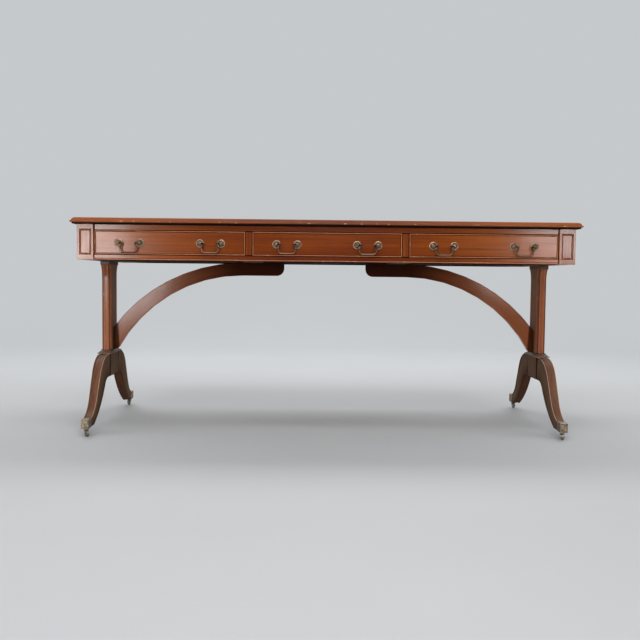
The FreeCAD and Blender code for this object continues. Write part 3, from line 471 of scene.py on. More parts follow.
handle_brass = brass("aged_cast_brass_handles", "#977c64", "#c6aa8e", "#4e3a2c", 0.34)
bail_brass = brass("bronzed_cast_brass_bails", "#33211a", "#866550", "#160d09", 0.3)
caster_brass = brass("dull_cast_brass_casters", "#b3a38c", "#dcd0bc", "#665748", 0.42)
wheel_brass = brass("greyed_cast_brass_wheels", "#a0978c", "#d9d3c8", "#6e665c", 0.3)

# %% [markdown]
# ## Shapes that repeat
#
# Cabinet work uses few shapes: lines and arcs drawn with rule and compass, boards with eased edges,
# mouldings mitred round a rectangle, mouldings run along a board, and turned pieces. Each has one function
# here.

# %% Lines, arcs and tubes
ARC_STEPS = 9


def drawn(*corners):
    """Points along corners (a, b). A third value makes the way to the next corner an arc of that radius:
    its centre is on the left for plus and on the right for minus, at sqrt(radius^2 - chord^2 / 4) from
    the chord."""
    runs = []
    for here, there in zip(corners[:-1], corners[1:]):
        start, chord = np.array(here[:2]), np.subtract(there[:2], here[:2])
        if len(here) == 2:
            runs.append(start[None])
            continue
        size, hand = abs(here[2]), np.sign(here[2])
        length = np.hypot(*chord)
        left = np.array([-chord[1], chord[0]]) / length
        centre = start + chord / 2 + hand * left * np.sqrt(max(size ** 2 - length ** 2 / 4, 0))
        sweep = hand * 2 * np.arcsin(min(length / 2 / size, 1))
        turn = np.arctan2(*(start - centre)[::-1]) + sweep * np.linspace(0, 1, ARC_STEPS)[:-1]
        runs.append(centre + size * np.stack([np.cos(turn), np.sin(turn)], axis=1))
    return np.vstack(runs + [np.array(corners[-1][:2])[None]])


def spaced(points, shares):
    """The same line with points at shares of its length, interpolated over the length so far."""
    way = np.concatenate([[0], np.cumsum(np.hypot(*np.diff(points, axis=0).T))])
    return np.stack([np.interp(shares * way[-1], way, points[:, axis]) for axis in (0, 1)], axis=1)


def closed(rings, wear_and_painted_light, grain=None, start_wear=0.0):
    """A tube of rings and its two ends, each closed with a fan from the ring to its middle."""
    ends = []
    for ring, end_wear in ((rings[0], start_wear), (rings[-1], 0.0)):
        middle = np.broadcast_to(ring[:-1].mean(axis=0), ring.shape)
        ends.append(sheet(np.stack([ring, middle]), end_wear))
    return [sheet(rings, wear_and_painted_light, grain)] + ends


print("a quarter circle is drawn with", len(drawn((1, 0, 1), (0, 1))), "points")

# %% [markdown]
# ### Boards
#
# A board leaves the plane with sharp arrises, and sandpaper and hands ease them. A Bevel modifier on a box
# gives that shape, but it doesn't say which points are the arris, and those have to look rubbed. Six sheets
# that lean outwards at their edges meet in the same shape and know their wear.

# %% Boards with eased edges
LEAN = np.tan(np.radians([45, 30, 15]))


def eased_board(low, high, ease, panel=None, panelled=()):
    """Six sheets. A face's points are those of an inner block plus ease times a direction that leans from
    straight out at the flat to 45 degrees at the edge, so neighbours meet on the same points.
    A line just inside the flat keeps its shading level. A panel, given as depths and wear against the way
    in from its edge, is sunk into the faces that panelled names as (axis, side)."""
    low, high = np.asarray(low), np.asarray(high)
    middle, inner = (low + high) / 2, (high - low) / 2 - ease
    lines = []
    for way in range(3):
        level = inner[way] - min(ease, inner[way]) / 2
        flat = np.array([-inner[way], -level, level, inner[way]])
        if panel:
            edge = inner[way] + ease - panel["margin"][way]
            flat = np.concatenate([flat[:2], panel["way"] - edge, edge - panel["way"][::-1], flat[2:]])
        lean = np.concatenate([-LEAN, np.zeros(len(flat)), LEAN[::-1]])
        lines.append((np.pad(flat, len(LEAN), "edge"), lean))
    sheets = []
    for axis in range(3):
        one, two = (axis + 1) % 3, (axis + 2) % 3
        for side in (-1, 1):
            at_one, lean_one = (line[:, None] for line in lines[one])
            at_two, lean_two = lines[two]
            shape = (len(at_one), len(at_two))
            out = np.zeros(shape + (3,))
            out[..., axis], out[..., one], out[..., two] = side, lean_one, lean_two
            out /= np.linalg.norm(out, axis=-1, keepdims=True)
            points = middle + ease * out
            points[..., axis] += side * inner[axis]
            points[..., one] += at_one
            points[..., two] += at_two
            wear_and_painted_light = np.maximum(np.abs(lean_one), np.abs(lean_two))
            if (axis, side) in panelled:
                from_one = inner[one] + ease - panel["margin"][one] - np.abs(at_one)
                from_two = inner[two] + ease - panel["margin"][two] - np.abs(at_two)
                way_in = np.minimum(from_one, from_two)
                points[..., axis] -= side * np.interp(way_in, panel["way"], panel["depth"])
                wear_and_painted_light = wear_and_painted_light + np.where(way_in >= 0, np.interp(way_in, panel["way"], panel["wear_and_painted_light"]), 0)
            sheets.append(sheet(points, wear_and_painted_light))
    return sheets


print("an eased board has", len(eased_board((0, 0, 0), (1, 1, 1), MM)), "sheets")

# %% [markdown]
# ### Mitred mouldings
#
# A moulding that turns a corner is sawn at 45 degrees and glued. A curve with a bevel profile would follow
# the corner too, but would pinch or twist the section there. Here each point of the section has its own
# rectangle, so the mitre is exact.

# %% Mouldings mitred round a rectangle


def mitred(reach_one, reach_two, rise, wear_and_painted_light, axes=(0, 1, 2), middle=(0, 0, 0)):
    """Four sheets, one a side. A profile's points reach (one, two) from the middle at a rise; each side runs
    straight from corner to corner, and its grain runs with it. axes says which way one, two and rise
    point."""
    one, two, rise = (np.asarray(values, float) for values in (reach_one, reach_two, rise))
    corners = ((-1, -1), (1, -1), (1, 1), (-1, 1), (-1, -1))
    sheets = []
    for start, end in zip(corners[:-1], corners[1:]):
        points = np.zeros((len(rise), 2, 3))
        for column, (hand_one, hand_two) in enumerate((start, end)):
            points[:, column, axes[0]] = hand_one * one
            points[:, column, axes[1]] = hand_two * two
            points[:, column, axes[2]] = rise
        long_way = axes[0] if start[1] == end[1] else axes[1]
        order = [long_way] + [axis for axis in range(3) if axis != long_way]
        points = points + np.asarray(middle)
        sheets.append(sheet(points, np.asarray(wear_and_painted_light, float)[:, None], points[..., order]))
    return sheets


print("a mitred moulding has", len(mitred([1], [1], [0], [0])), "sides")

# %% [markdown]
# ### Run mouldings and turned pieces
#
# A bead on a rail has one section from end to end, and a rosette has one section all round. Extrude and
# Spin would make both from a drawn face. As grids they are just as short, and each point of the section
# keeps its wear.

# %% Mouldings run along a board


def run_along(profile, wear_and_painted_light, axis, span):
    """A closed profile, in the two axes other than the one it runs along, carried between two ends."""
    others = [way for way in range(3) if way != axis]
    points = np.zeros((2, len(profile), 3))
    points[..., others] = profile
    points[..., axis] = np.asarray(span)[:, None]
    return closed(points, wear_and_painted_light)


print("run mouldings: one sheet and two ends")

# %% Turned pieces
TURN_STEPS = 33


def turned(profile, wear_and_painted_light, centre, axis):
    """A profile of (along, out) points turned about an axis: out times cosine and sine to the sides."""
    profile = np.asarray(profile, float)
    along = np.asarray(axis, float) / np.linalg.norm(axis)
    side = np.cross(along, (0, 0, 1.0) if abs(along[2]) < 0.9 else (1.0, 0, 0))
    side /= np.linalg.norm(side)
    other = np.cross(along, side)
    turn = np.linspace(0, 2 * np.pi, TURN_STEPS)[None, :, None]
    out = profile[:, 1][:, None, None]
    points = np.asarray(centre) + profile[:, 0][:, None, None] * along
    points = points + out * (np.cos(turn) * side + np.sin(turn) * other)
    return sheet(points, np.asarray(wear_and_painted_light, float)[:, None])


print("turned pieces:", TURN_STEPS - 1, "steps round")

# %% [markdown]
# ## The top
#
# The top is a board with a moulding all round: a flat fillet below, a round nosing, and a quarter round
# that rises to the flat. It could be a box with its edges bevelled, but then the nosing would have no true
# section. Here the section is drawn once, its inset is taken from the length and depth of the board, and
# the last ring closes along the middle line like a hipped roof.

# %% The moulded top
top_low, top_high = spot("table_top")
half_length, half_depth = top_high[0], top_high[1]
edge = drawn((6, 0), (6, 5), (1.354, 5, -4), (1.354, 11), (3.5, 11), (3.9, 11.6, -14), (13.2, 21.8, -20),
             (16, 22)) * MM
# The fillet under the nosing, the step above it and the underside are painted dark, as shade under the top
edge_wear = np.interp(edge[:, 1], np.array([0, 4.5, 5, 6.5, 8, 10.5, 11, 12.5, 18, 21, 22]) * MM,
                      [-1, -1, -0.6, 0.7, 1, 0.6, -0.9, 0.5, 0.5, 0.5, 0.1])
inset = np.concatenate([[half_depth], edge[:, 0], [half_depth]])
rise = np.concatenate([[0], edge[:, 1], [top_high[2] - top_low[2]]]) + top_low[2]
wear_and_painted_light = np.concatenate([[-0.6], edge_wear, [0]])
top = mitred(half_length - inset, half_depth - inset, rise, wear_and_painted_light)
piece("moulded_top", top, top_mahogany, "table", "table_top")

# %% [markdown]
# ## The frieze
#
# Rails and aprons carry a small bead along the lower edge, cut with a scratch stock: a round with a fine
# quirk above it. The quirk is painted dark, as its shade and the wax and dust in it, and the bead's
# underside, the top arris and the inside are painted dark as shade. A material could fake the bead with two
# dark lines, but the bead has to catch light along its crown, so it is real relief. The painted dark ends a
# little above the quirk, at a row of points of its own, or it would spread over the whole face. The rail
# above the drawers and the dividers between them are plain boards whose edges stand at a gap, so their edges
# are painted dark, as the shade in the gap and old dirt, and are not rubbed.

# %% Rails and aprons
RAIL_BEAD_HEIGHT = 5 * MM
RAIL_BEAD_PROUD = 1.1 * MM
RAIL_BEAD_LIP = 0.4 * MM
RAIL_BEAD_ROUND = 3.2 * MM
QUIRK = 0.9 * MM
QUIRK_DEPTH = 1.2 * MM
QUIRK_SHADE_FADE = 2.5 * MM
RAIL_EASE = 1.6 * MM
EASE_LINES = len(LEAN) + 1


def beaded_section(face, inside, low, high):
    """A section whose show face has a half-round bead and a quirk at its foot: (out, up) points and wear.
    The quirk, the bead's underside, the top arris and the inside are painted dark, as shade.
    """
    out = np.sign(face - inside)
    foot = drawn((0, 0), (RAIL_BEAD_LIP, 0, RAIL_BEAD_ROUND), (RAIL_BEAD_LIP, RAIL_BEAD_HEIGHT),
                 (-QUIRK_DEPTH, RAIL_BEAD_HEIGHT + QUIRK / 2), (0, RAIL_BEAD_HEIGHT + QUIRK))
    foot[:, 0] = np.minimum(foot[:, 0], RAIL_BEAD_PROUD)
    bead_wear = np.interp(foot[:, 1], np.array([0, 1.5, 2.5, 4, 5, 5.5, 5.9]) * MM,
                          [-0.9, 0.4, 1, 0.6, -0.5, -1, -0.6])
    points = np.vstack([[(inside, low)], np.stack([face + out * foot[:, 0], low + foot[:, 1]], axis=1),
                        [(face, low + foot[-1, 1] + QUIRK_SHADE_FADE), (face, high - 1.5 * RAIL_EASE),
                         (face, high - RAIL_EASE), (face - out * RAIL_EASE, high),
                         (inside, high), (inside, low)]])
    return points, np.concatenate([[-1], bead_wear, [0, 0, -1, -1, -1, -1]])


def beaded(node, face, inside, axis, finish):
    """Puts a rail or apron with a bead in the place of a CAD board, run along an axis."""
    low, high = spot(node)
    section, wear_and_painted_light = beaded_section(face, inside, low[2], high[2])
    frame_piece(node, "beaded", run_along(section, wear_and_painted_light, axis, (low[axis], high[axis])), finish)


def dark_at_gaps(boards):
    """Boards whose eased edges stand at a gap and are never rubbed: points up to the flat's own edge, which
    are the first EASE_LINES of each row and column, are painted dark, as the shade in the gap and old grime."""
    darkened = []
    for part in boards:
        rows, columns = (np.minimum(np.arange(count), np.arange(count)[::-1]) for count in part.wear_and_painted_light.shape)
        from_edge = np.minimum(rows[:, None], columns)
        darkened.append(sheet(part.points, np.where(from_edge < EASE_LINES, -1.0, 0.0)))
    return darkened


face_y = -spot("drawer_middle_front")[0][1]
beaded("front_bottom_rail", -face_y, spot("front_bottom_rail")[1][1], 0, rail_mahogany)
beaded("back_apron", face_y, spot("back_apron")[0][1], 0, rail_mahogany)
for side, hand in SIDES.items():
    low, high = spot(f"end_apron_{side}")
    inside, outer = (low[0], high[0]) if hand > 0 else (high[0], low[0])
    beaded(f"end_apron_{side}", outer - hand * RAIL_BEAD_PROUD, inside, 1, side_mahogany)

# %% Rail and dividers round the drawers
DIVIDER_WIDTH = 25 * MM
top_rail = eased_board(*spot("front_top_rail"), RAIL_EASE)
frame_piece("front_top_rail", "eased", dark_at_gaps(top_rail), rail_mahogany)
divider_low, divider_high = spot("drawer_dividers")
dividers = []
for hand in SIDES.values():
    outer = divider_high[0] if hand > 0 else divider_low[0]
    ends = sorted((outer, outer - hand * DIVIDER_WIDTH))
    board_low, board_high = (ends[0], *divider_low[1:]), (ends[1], *divider_high[1:])
    dividers += eased_board(board_low, board_high, RAIL_EASE)
frame_piece("drawer_dividers", "eased", dark_at_gaps(dividers), upright_mahogany)

# %% [markdown]
# ### Corner posts
#
# The posts have a sunk panel framed by a narrow moulding on both show faces, and a quirk parts them from
# the rails. The quirk's floor is a dark strip, and the moulding's quirks are painted dark, both as painted
# shade. A boolean could sink the panel. Here the grid of the face gets a few more lines, and each
# point goes in by a depth that depends on how far it is from the panel's edge, so the mitres come by
# themselves.

# %% Corner posts
POST_EASE = 1.2 * MM
POST_QUIRK_WIDTH = 3 * MM
POST_QUIRK_DEPTH = 5 * MM
STRIP_GAP = 0.05 * MM
# The panel's -1 wear in the moulding's quirks is painted shade
PANEL = {
    "margin": np.array([7.5, 7.5, 17]) * MM,
    "way": np.array([0, 0.7, 1.4, 2.6, 3.8, 5.0, 5.7, 6.6]) * MM,
    "depth": np.array([0, 1.6, 1.5, 0.5, 0.9, 2.2, 3.0, 2.2]) * MM,
    "wear_and_painted_light": np.array([0, -1, -0.6, 0.7, 0.2, -0.5, -1, 0]),
}


def quirk_shade_strip(low, high, axis, facing):
    """The strip at the bottom of a quirk, painted dark as the quirk's shade: as wide as the quirk along one
    axis, at the edge away from the way that the post's corner faces, and set back from the show face on the
    other axis."""
    other = 1 - axis
    low, high = low.copy(), high.copy()
    if facing[axis] > 0:
        high[axis] = low[axis] + POST_QUIRK_WIDTH
    else:
        low[axis] = high[axis] - POST_QUIRK_WIDTH
    if facing[other] > 0:
        high[other] -= POST_QUIRK_DEPTH
    else:
        low[other] += POST_QUIRK_DEPTH
    strip = eased_board(low + STRIP_GAP, high - STRIP_GAP, STRIP_GAP)
    return [sheet(part.points, -1.0) for part in strip]


for corner, hand, out in CORNERS:
    node = f"corner_post_{corner}"
    low, high = spot(node)
    inward = np.array([hand, out, 0]) * POST_QUIRK_WIDTH
    panelled = eased_board(low + np.maximum(inward, 0), high + np.minimum(inward, 0), POST_EASE, PANEL,
                           ((0, hand), (1, out)))
    trimmed = inward * (1, 0, 0)
    shade_strips = quirk_shade_strip(low, high, 0, (hand, out))
    shade_strips += quirk_shade_strip(low + np.maximum(trimmed, 0), high + np.minimum(trimmed, 0), 1, (hand, out))
    frame_piece(node, "panelled", panelled + shade_strips, upright_mahogany)

# %% [markdown]
# ## Cock beads
#
# A cock bead is a thin strip let into the edge of a drawer front, standing a little proud with its crown
# rounded. It saves the veneer from chipping and draws a fine bright line round each drawer; its crown is
# rubbed pale, partly real wear and partly a painted highlight. A bevelled curve could be laid round the
# front. One small section, mitred, gives sharp corners and carries a thin dark strip along its inner foot,
# painted shade beside the bead. The back of the frieze has the same beads on a plain board.

# %% Cock beads
BEAD_WIDTH = 3 * MM
BEAD_BODY = 4 * MM
BEAD_CROWN = BEAD_WIDTH / 2
BEAD_SPRING = BEAD_BODY - BEAD_CROWN
BEAD_RUB = 0.9 * MM
# A thin strip at the bead's inner foot, painted dark as the shade beside the bead
SHADE_STRIP_LIFT = 0.1 * MM
SHADE_STRIP_WIDTH = 2.0 * MM


def cock_bead(low, high, proud_y, out):
    """The bead's closed section, round in front, with a thin strip of painted shade at its inner foot,
    mitred round the rectangle from low to high.
    """
    half = (np.asarray(high) - np.asarray(low)) / 2
    middle = (np.asarray(high) + np.asarray(low)) / 2
    section = drawn((0, 0), (0, BEAD_SPRING, -BEAD_CROWN), (BEAD_WIDTH, BEAD_SPRING),
                    (BEAD_WIDTH, BEAD_SPRING + SHADE_STRIP_LIFT), (BEAD_WIDTH + SHADE_STRIP_WIDTH, BEAD_SPRING + SHADE_STRIP_LIFT),
                    (BEAD_WIDTH + SHADE_STRIP_WIDTH, 0), (0, 0))
    wear_and_painted_light = np.interp(section[:, 1], [BEAD_SPRING + SHADE_STRIP_LIFT, BEAD_BODY - BEAD_RUB, BEAD_BODY], [-1, 0.6, 0.9])
    depth = proud_y - out * (BEAD_BODY - section[:, 1])
    return mitred(half[0] - section[:, 0], half[2] - section[:, 0], depth, wear_and_painted_light, (0, 2, 1),
                  (middle[0], 0, middle[2]))


sham = []
for where in DRAWERS:
    low, high = spot(f"drawer_{where}_cock_beads")
    piece(f"drawer_{where}_cock_bead", cock_bead(low, high, low[1], -1), bead_mahogany, f"drawer_{where}",
          f"drawer_{where}_cock_beads")
    sham += cock_bead(low, high, spot("back_cock_beads")[1][1], 1)
piece("back_cock_bead_rings", sham, bead_mahogany, "table", "back_cock_beads")

# %% [markdown]
# ## Columns
#
# Each column is a flat board on edge with a hollow moulding down its four arrises, and its front and back
# sweep out under a plain cap. It could be a box with cutters taken off it. Here the section is drawn for
# one quarter and mirrored. The sweep is an arc that moves the front and back faces out, so the same section
# is carried up with a depth that depends on height.

# %% Columns
COLUMN_FLAT = 9.6 * MM
COLUMN_HOLLOW = 6.4 * MM
HOLLOW_STEP = np.array([0.3, 0.9]) * MM
HOLLOW_PAST = 0.6 * MM
COLUMN_CHAMFER = 0.5 * MM
FLARE_HEIGHT = 47 * MM
FLARE_RADIUS = 75 * MM


def moulded_column(low, high):
    """A quarter section (x, inward) mirrored to a loop; at height z its faces stand out by
    radius - sqrt(radius^2 - climb^2), where climb is the way into the flare."""
    middle, half = (low + high) / 2, (high - low) / 2
    flare = FLARE_RADIUS - np.sqrt(FLARE_RADIUS ** 2 - FLARE_HEIGHT ** 2)
    straight = half[1] - flare
    corner = drawn((0, 0), (COLUMN_FLAT, 0), (COLUMN_FLAT + HOLLOW_STEP[0], HOLLOW_STEP[1], -COLUMN_HOLLOW),
                   (half[0] - COLUMN_CHAMFER, COLUMN_HOLLOW + HOLLOW_PAST),
                   (half[0], COLUMN_HOLLOW + HOLLOW_PAST + COLUMN_CHAMFER))
    wear_and_painted_light = np.zeros(len(corner))
    # The hollows are painted dark, as their shade
    wear_and_painted_light[1], wear_and_painted_light[2], wear_and_painted_light[-1] = 0.9, -0.5, 0.8
    wear_and_painted_light[3:-2] = -0.5
    x = np.append(corner[:, 0], half[0])
    inward = np.append(corner[:, 1], 0)
    deep = np.append(np.ones(len(corner)), 0)
    wear_and_painted_light = np.append(wear_and_painted_light, 0)
    x = np.concatenate([x, x[::-1], -x, -x[::-1]])
    inward = np.concatenate([inward, -inward[::-1], -inward, inward[::-1]])
    deep = np.concatenate([deep, -deep[::-1], -deep, deep[::-1]])
    wear_and_painted_light = np.concatenate([wear_and_painted_light, wear_and_painted_light[::-1], wear_and_painted_light, wear_and_painted_light[::-1]])
    climb = np.linspace(0, FLARE_HEIGHT, ARC_STEPS)
    z = np.concatenate([[low[2]], high[2] - FLARE_HEIGHT + climb])
    depth = straight + np.concatenate([[0], FLARE_RADIUS - np.sqrt(FLARE_RADIUS ** 2 - climb ** 2)])
    points = np.zeros((len(z), len(x), 3))
    points[..., 0] = middle[0] + x
    points[..., 1] = middle[1] - (deep * depth[:, None] - inward)
    points[..., 2] = z[:, None]
    return closed(points, wear_and_painted_light)


for side in SIDES:
    node = f"column_{side}"
    frame_piece(node, "moulded", moulded_column(*spot(node)), column_mahogany, dull_grey_sides=True)

# %% [markdown]
# ### Caps, plinths and leg blocks
#
# A cap, almost flush, closes each column under the frieze. A moulded plinth is its foot, and the block
# under the plinth holds the legs. Caps and blocks are eased boards. The plinth could be a bevelled box, but
# its slope is a little round and much longer at the front than at the sides, so it is mitred from two
# reaches.

# %% Caps and leg blocks
CAP_EASE = 1.5 * MM
BLOCK_EASE = 1.5 * MM
CAP_WIDTH = 40 * MM
CAP_TRIM = 2.4 * MM
BLOCK_WIDTH = 37 * MM


def at_both_ends(node, width, ease, trim=0.0):
    """Two eased boards of one width, one at each end of a node that holds a pair. trim comes off each
    side."""
    low, high = spot(node)
    cut = np.array([trim, trim, 0])
    boards = eased_board(low + cut, np.array([low[0] + width, *high[1:]]) - cut, ease)
    return boards + eased_board(np.array([high[0] - width, *low[1:]]) + cut, high - cut, ease)


caps = at_both_ends("column_caps", CAP_WIDTH, CAP_EASE, CAP_TRIM)
frame_piece("column_caps", "eased", caps, cap_mahogany, dull_grey_sides=True)
blocks = at_both_ends("leg_blocks", BLOCK_WIDTH, BLOCK_EASE)
# The blocks' eased edges are painted dark, as the shade and grime where legs and plinth meet them
frame_piece("leg_blocks", "eased", dark_at_gaps(blocks), leg_mahogany, dull_grey_sides=True)

# %% Plinths
PLINTH_FILLET = 4 * MM
PLINTH_EASE = 0.6 * MM
PLINTH_NECK = 2 * MM
PLINTH_SLOPE = 27 * MM
PLINTH_ROUND = 0.35


def moulded_plinth(low, high, neck):
    """A fillet with eased arrises, then a slope in to the neck. At a share of the way in it has climbed
    1 - round * sqrt(1 - share^2) - (1 - round) * (1 - share) of its height."""
    middle, half = (low + high) / 2, (high - low) / 2
    share = np.linspace(0, 1, ARC_STEPS)
    climb = 1 - PLINTH_ROUND * np.sqrt(1 - share ** 2) - (1 - PLINTH_ROUND) * (1 - share)
    reaches = []
    for wide, narrow in ((half[0], neck), (half[1], half[1] - PLINTH_SLOPE)):
        foot = wide - 2 * PLINTH_EASE
        fillet = [0, wide - PLINTH_EASE, wide, wide, wide - PLINTH_EASE]
        reaches.append(np.concatenate([fillet, foot - (foot - narrow) * share, [0]]))
    tall = half[2] * 2
    rise = np.concatenate([[0, 0, PLINTH_EASE, PLINTH_FILLET - PLINTH_EASE, PLINTH_FILLET],
                           PLINTH_FILLET + (tall - PLINTH_FILLET) * climb, [tall]])
    # Where the slope meets the fillet and the column, the plinth is painted dark, as the shade in the
    # corners
    wear_and_painted_light = np.concatenate([[0, 0.4, 0.7, 0.9, 0.6, -0.6], np.zeros(ARC_STEPS - 2), [-0.8, -0.8]])
    return mitred(*reaches, low[2] + rise, wear_and_painted_light, middle=(middle[0], middle[1], 0))


for side in SIDES:
    column_low, column_high = spot(f"column_{side}")
    neck = (column_high[0] - column_low[0]) / 2 + PLINTH_NECK
    node = f"plinth_{side}"
    frame_piece(node, "moulded", moulded_plinth(*spot(node), neck), foot_mahogany, dull_grey_sides=True)

# %% [markdown]
# ## Sabre legs and arched brackets
#
# Both are boards sawn to two curves and eased along their arrises. The outer curve and the inner curve are
# drawn as lines and arcs, divided into the same number of equal steps, and joined by an eased rectangle at
# each step. The grain attribute holds the way along the middle line, so the figure follows the sweep as a
# carver's choice of wood does. A sweep of one fixed section would not do, because the legs grow thinner
# towards the toe.

# %% A bar between two curves
BAR_SHARES = np.linspace(0, 1, 61)
FLAT_EDGE = 0.5
ROUND_STEPS = 5


def shaped_bar(lower, upper, half_width, ease, plane, across, shares=BAR_SHARES, under=0.0):
    """At each step the section is a rectangle from the lower to the upper point, its four corners quarter
    rounds: middle + up * (side * (height / 2 - ease) + ease * sine), and the same across with cosine. A
    point just inside each flat keeps the shading of the flat level. under is the wear value of the lower
    side's arrises; below zero it paints them dark, as shade."""
    lower, upper = spaced(lower, shares), spaced(upper, shares)
    half_width = np.interp(shares, *half_width)[:, None]
    middle, reach = (lower + upper) / 2, upper - lower
    height = np.hypot(*reach.T)[:, None]
    up = reach / height
    turn = np.linspace(0, np.pi / 2, ROUND_STEPS)
    quarter = np.stack([np.concatenate([[1], np.cos(turn), [-FLAT_EDGE]]),
                        np.concatenate([[-FLAT_EDGE], np.sin(turn), [1]])])
    wide, tall, rounds, rubs = [], [], [], []
    for one, two in ((1, 1), (-1, 1), (-1, -1), (1, -1)):
        rounds.append(quarter if one == two else quarter[::-1, ::-1])
        wide.append(np.full(quarter.shape[1], one))
        tall.append(np.full(quarter.shape[1], two))
        rubbed = np.concatenate([[0], np.sin(2 * turn), [0]])
        rubs.append(rubbed if two > 0 else np.full(len(rubbed), under))
    wide, tall, rubs = (np.append(np.concatenate(runs), runs[0][0]) for runs in (wide, tall, rubs))
    rounds = np.hstack(rounds + [quarter[:, :1]])
    sideways = wide * (half_width - ease + ease * rounds[0])
    upward = tall * (height / 2 - ease + ease * rounds[1])
    points = np.zeros(upward.shape + (3,))
    points[..., plane[0]] = middle[:, :1] + up[:, :1] * upward
    points[..., plane[1]] = middle[:, 1:] + up[:, 1:] * upward
    points[..., across] = sideways
    way = np.concatenate([[0], np.cumsum(np.hypot(*np.diff(middle, axis=0).T))])[:, None]
    grain = np.stack(np.broadcast_arrays(way, upward, sideways), axis=-1)
    return points, np.broadcast_to(rubs, upward.shape).copy(), grain


def placed(points, wear_and_painted_light, grain, move, mirror=(1, 1, 1)):
    """A bar with its two ends closed and the first one painted dark as shade, mirrored and moved to its
    place.
    """
    points = points * np.asarray(mirror) + np.asarray(move)
    return closed(points, wear_and_painted_light, grain, -1.0)


print("bars have", len(BAR_SHARES) - 1, "steps along")

# %% [markdown]
# ### Sabre legs
#
# A leg sweeps out from its block and down to the toe, as wide as the block at first and narrower at the
# caster. Just at the block it has a fine groove, coloured dark, that shows where the two were joined.
# The groove is a step in the width over the first hundredths of the length. The arrises of the lower side
# are painted darker, as shade.

# %% Sabre legs
LEG_OUTER = drawn((62, 268), (98, 268, -123), (204.52, 206.5), (254.47, 119.98, 125), (324.098, 63.6)) * MM
LEG_INNER = drawn((62, 180), (95, 180, -55), (140.05, 156.55, 377), (290.098, 30.6), (324.098, 30.6)) * MM
LEG_EASE = 2.2 * MM
LEG_WIDTH = ([0, 0.011, 0.014, 0.1, 1], np.array([16, 16, 18.5, 18.5, 14]) * MM)
LEG_SHARES = np.unique(np.concatenate([BAR_SHARES, [0.011, 0.014, 0.024, 0.03]]))
LEG_JOINT_DARK = 0.025
column_x = (spot("column_right")[0][0] + spot("column_right")[1][0]) / 2
# The lower side's arrises get under=-0.5, painted shade; the groove's first hundredths are coloured dark
leg = shaped_bar(LEG_INNER, LEG_OUTER, LEG_WIDTH, LEG_EASE, (1, 2), 0, LEG_SHARES, under=-0.5)
leg[1][LEG_SHARES < LEG_JOINT_DARK] = -1
for corner, hand, out in CORNERS:
    sabre = placed(*leg, (hand * column_x, 0, 0), (1, out, 1))
    frame_piece(f"leg_{corner}", "sabre", sabre, leg_mahogany, dull_grey_sides=True)

# %% [markdown]
# ### Arched brackets
#
# A bracket springs from each column and dies against the bearer under the drawers, where it ends in a round
# nose. Its upper end lies in the shade of the frieze, and its lower end in the shade of the column. Both
# ends and the arrises are painted dark, as that shade, so only the middle of the arch is lighter and
# polished.

# %% Arched brackets
BRACKET_LOWER = drawn((161, 603.5, 28), (189, 575.5), (325, 575.5, -558), (816, 282), (833, 282)) * MM
BRACKET_UPPER = drawn((161, 626), (345, 626, -641), (833, 366)) * MM
BRACKET_EASE = 1.5 * MM
# Painted shade at shares of the length from the nose to the column
SHADE_AT, SHADE_SHARE = (0, 0.25, 0.8, 0.95, 0.965, 1), (1, 1, 0, 0, 1, 1)
SHADE_WEAR = -0.7
bracket_half = spot("arched_bracket_right")[1][1]
bracket = shaped_bar(BRACKET_LOWER, BRACKET_UPPER, ([0, 1], [bracket_half] * 2), BRACKET_EASE, (0, 2), 1)
# grime here is the painted shade at both ends, from the frieze and the column
grime = np.interp(BAR_SHARES, SHADE_AT, SHADE_SHARE)[:, None]
bracket = (bracket[0], SHADE_WEAR * np.maximum(np.abs(bracket[1]), grime), bracket[2])
for side, hand in SIDES.items():
    node = f"arched_bracket_{side}"
    arch = placed(*bracket, (0, 0, 0), (hand, 1, 1))
    frame_piece(node, "eased", arch, bracket_mahogany)

# %% [markdown]
# ## Handles
#
# A swan-neck handle is a cast bail whose pins turn in two ball posts, each on a ringed rosette. A bolt
# behind each post goes through the drawer front to a square nut. Rosettes and posts were turned on a lathe,
# so they are turned here from drawn profiles, and a rosette's rings are bright on their crests and dark
# between them.

# %% Rosettes, posts and nuts
ROSETTE = drawn((0, 0), (0, 15), (0.9, 15, -1.2), (2.0, 14.0), (2.2, 13.4, -1.5), (2.2, 11.2), (1.5, 10.6),
                (1.2, 9.6), (1.6, 7.2), (2.6, 6.6, -1.2), (3.6, 5.2), (4.4, 3.2), (4.4, 0)) * MM
ROSETTE_WEAR = np.interp(ROSETTE[:, 1], np.array([0, 3.2, 5.2, 6.6, 7.2, 9.6, 10.6, 11.5, 13, 14, 15]) * MM,
                         [0, 0.2, 0.6, 0.1, -0.6, -0.1, -0.5, 0.5, 0.8, 0.2, -0.3])
POST = drawn((-27, 0), (-27, 2.5), (0, 2.5), (0, 3), (7.5, 3), (9.5, 3.2, -5), (18.5, 0)) * MM
POST_WEAR = np.interp(POST[:, 0], np.array([0, 4, 9.5, 13, 17]) * MM, [-1, -0.9, -0.7, -0.4, 0.4])
NUT = np.array([9, 4, 9]) * MM
NUT_EASE = 0.4 * MM
FRONT_THICKNESS = 20 * MM
POST_SPACING = 73.5 * MM
swings = {joint["child"]: np.array(joint["pos_m"]) for joint in frame["joints"]
          if joint["child"].startswith("bail")}
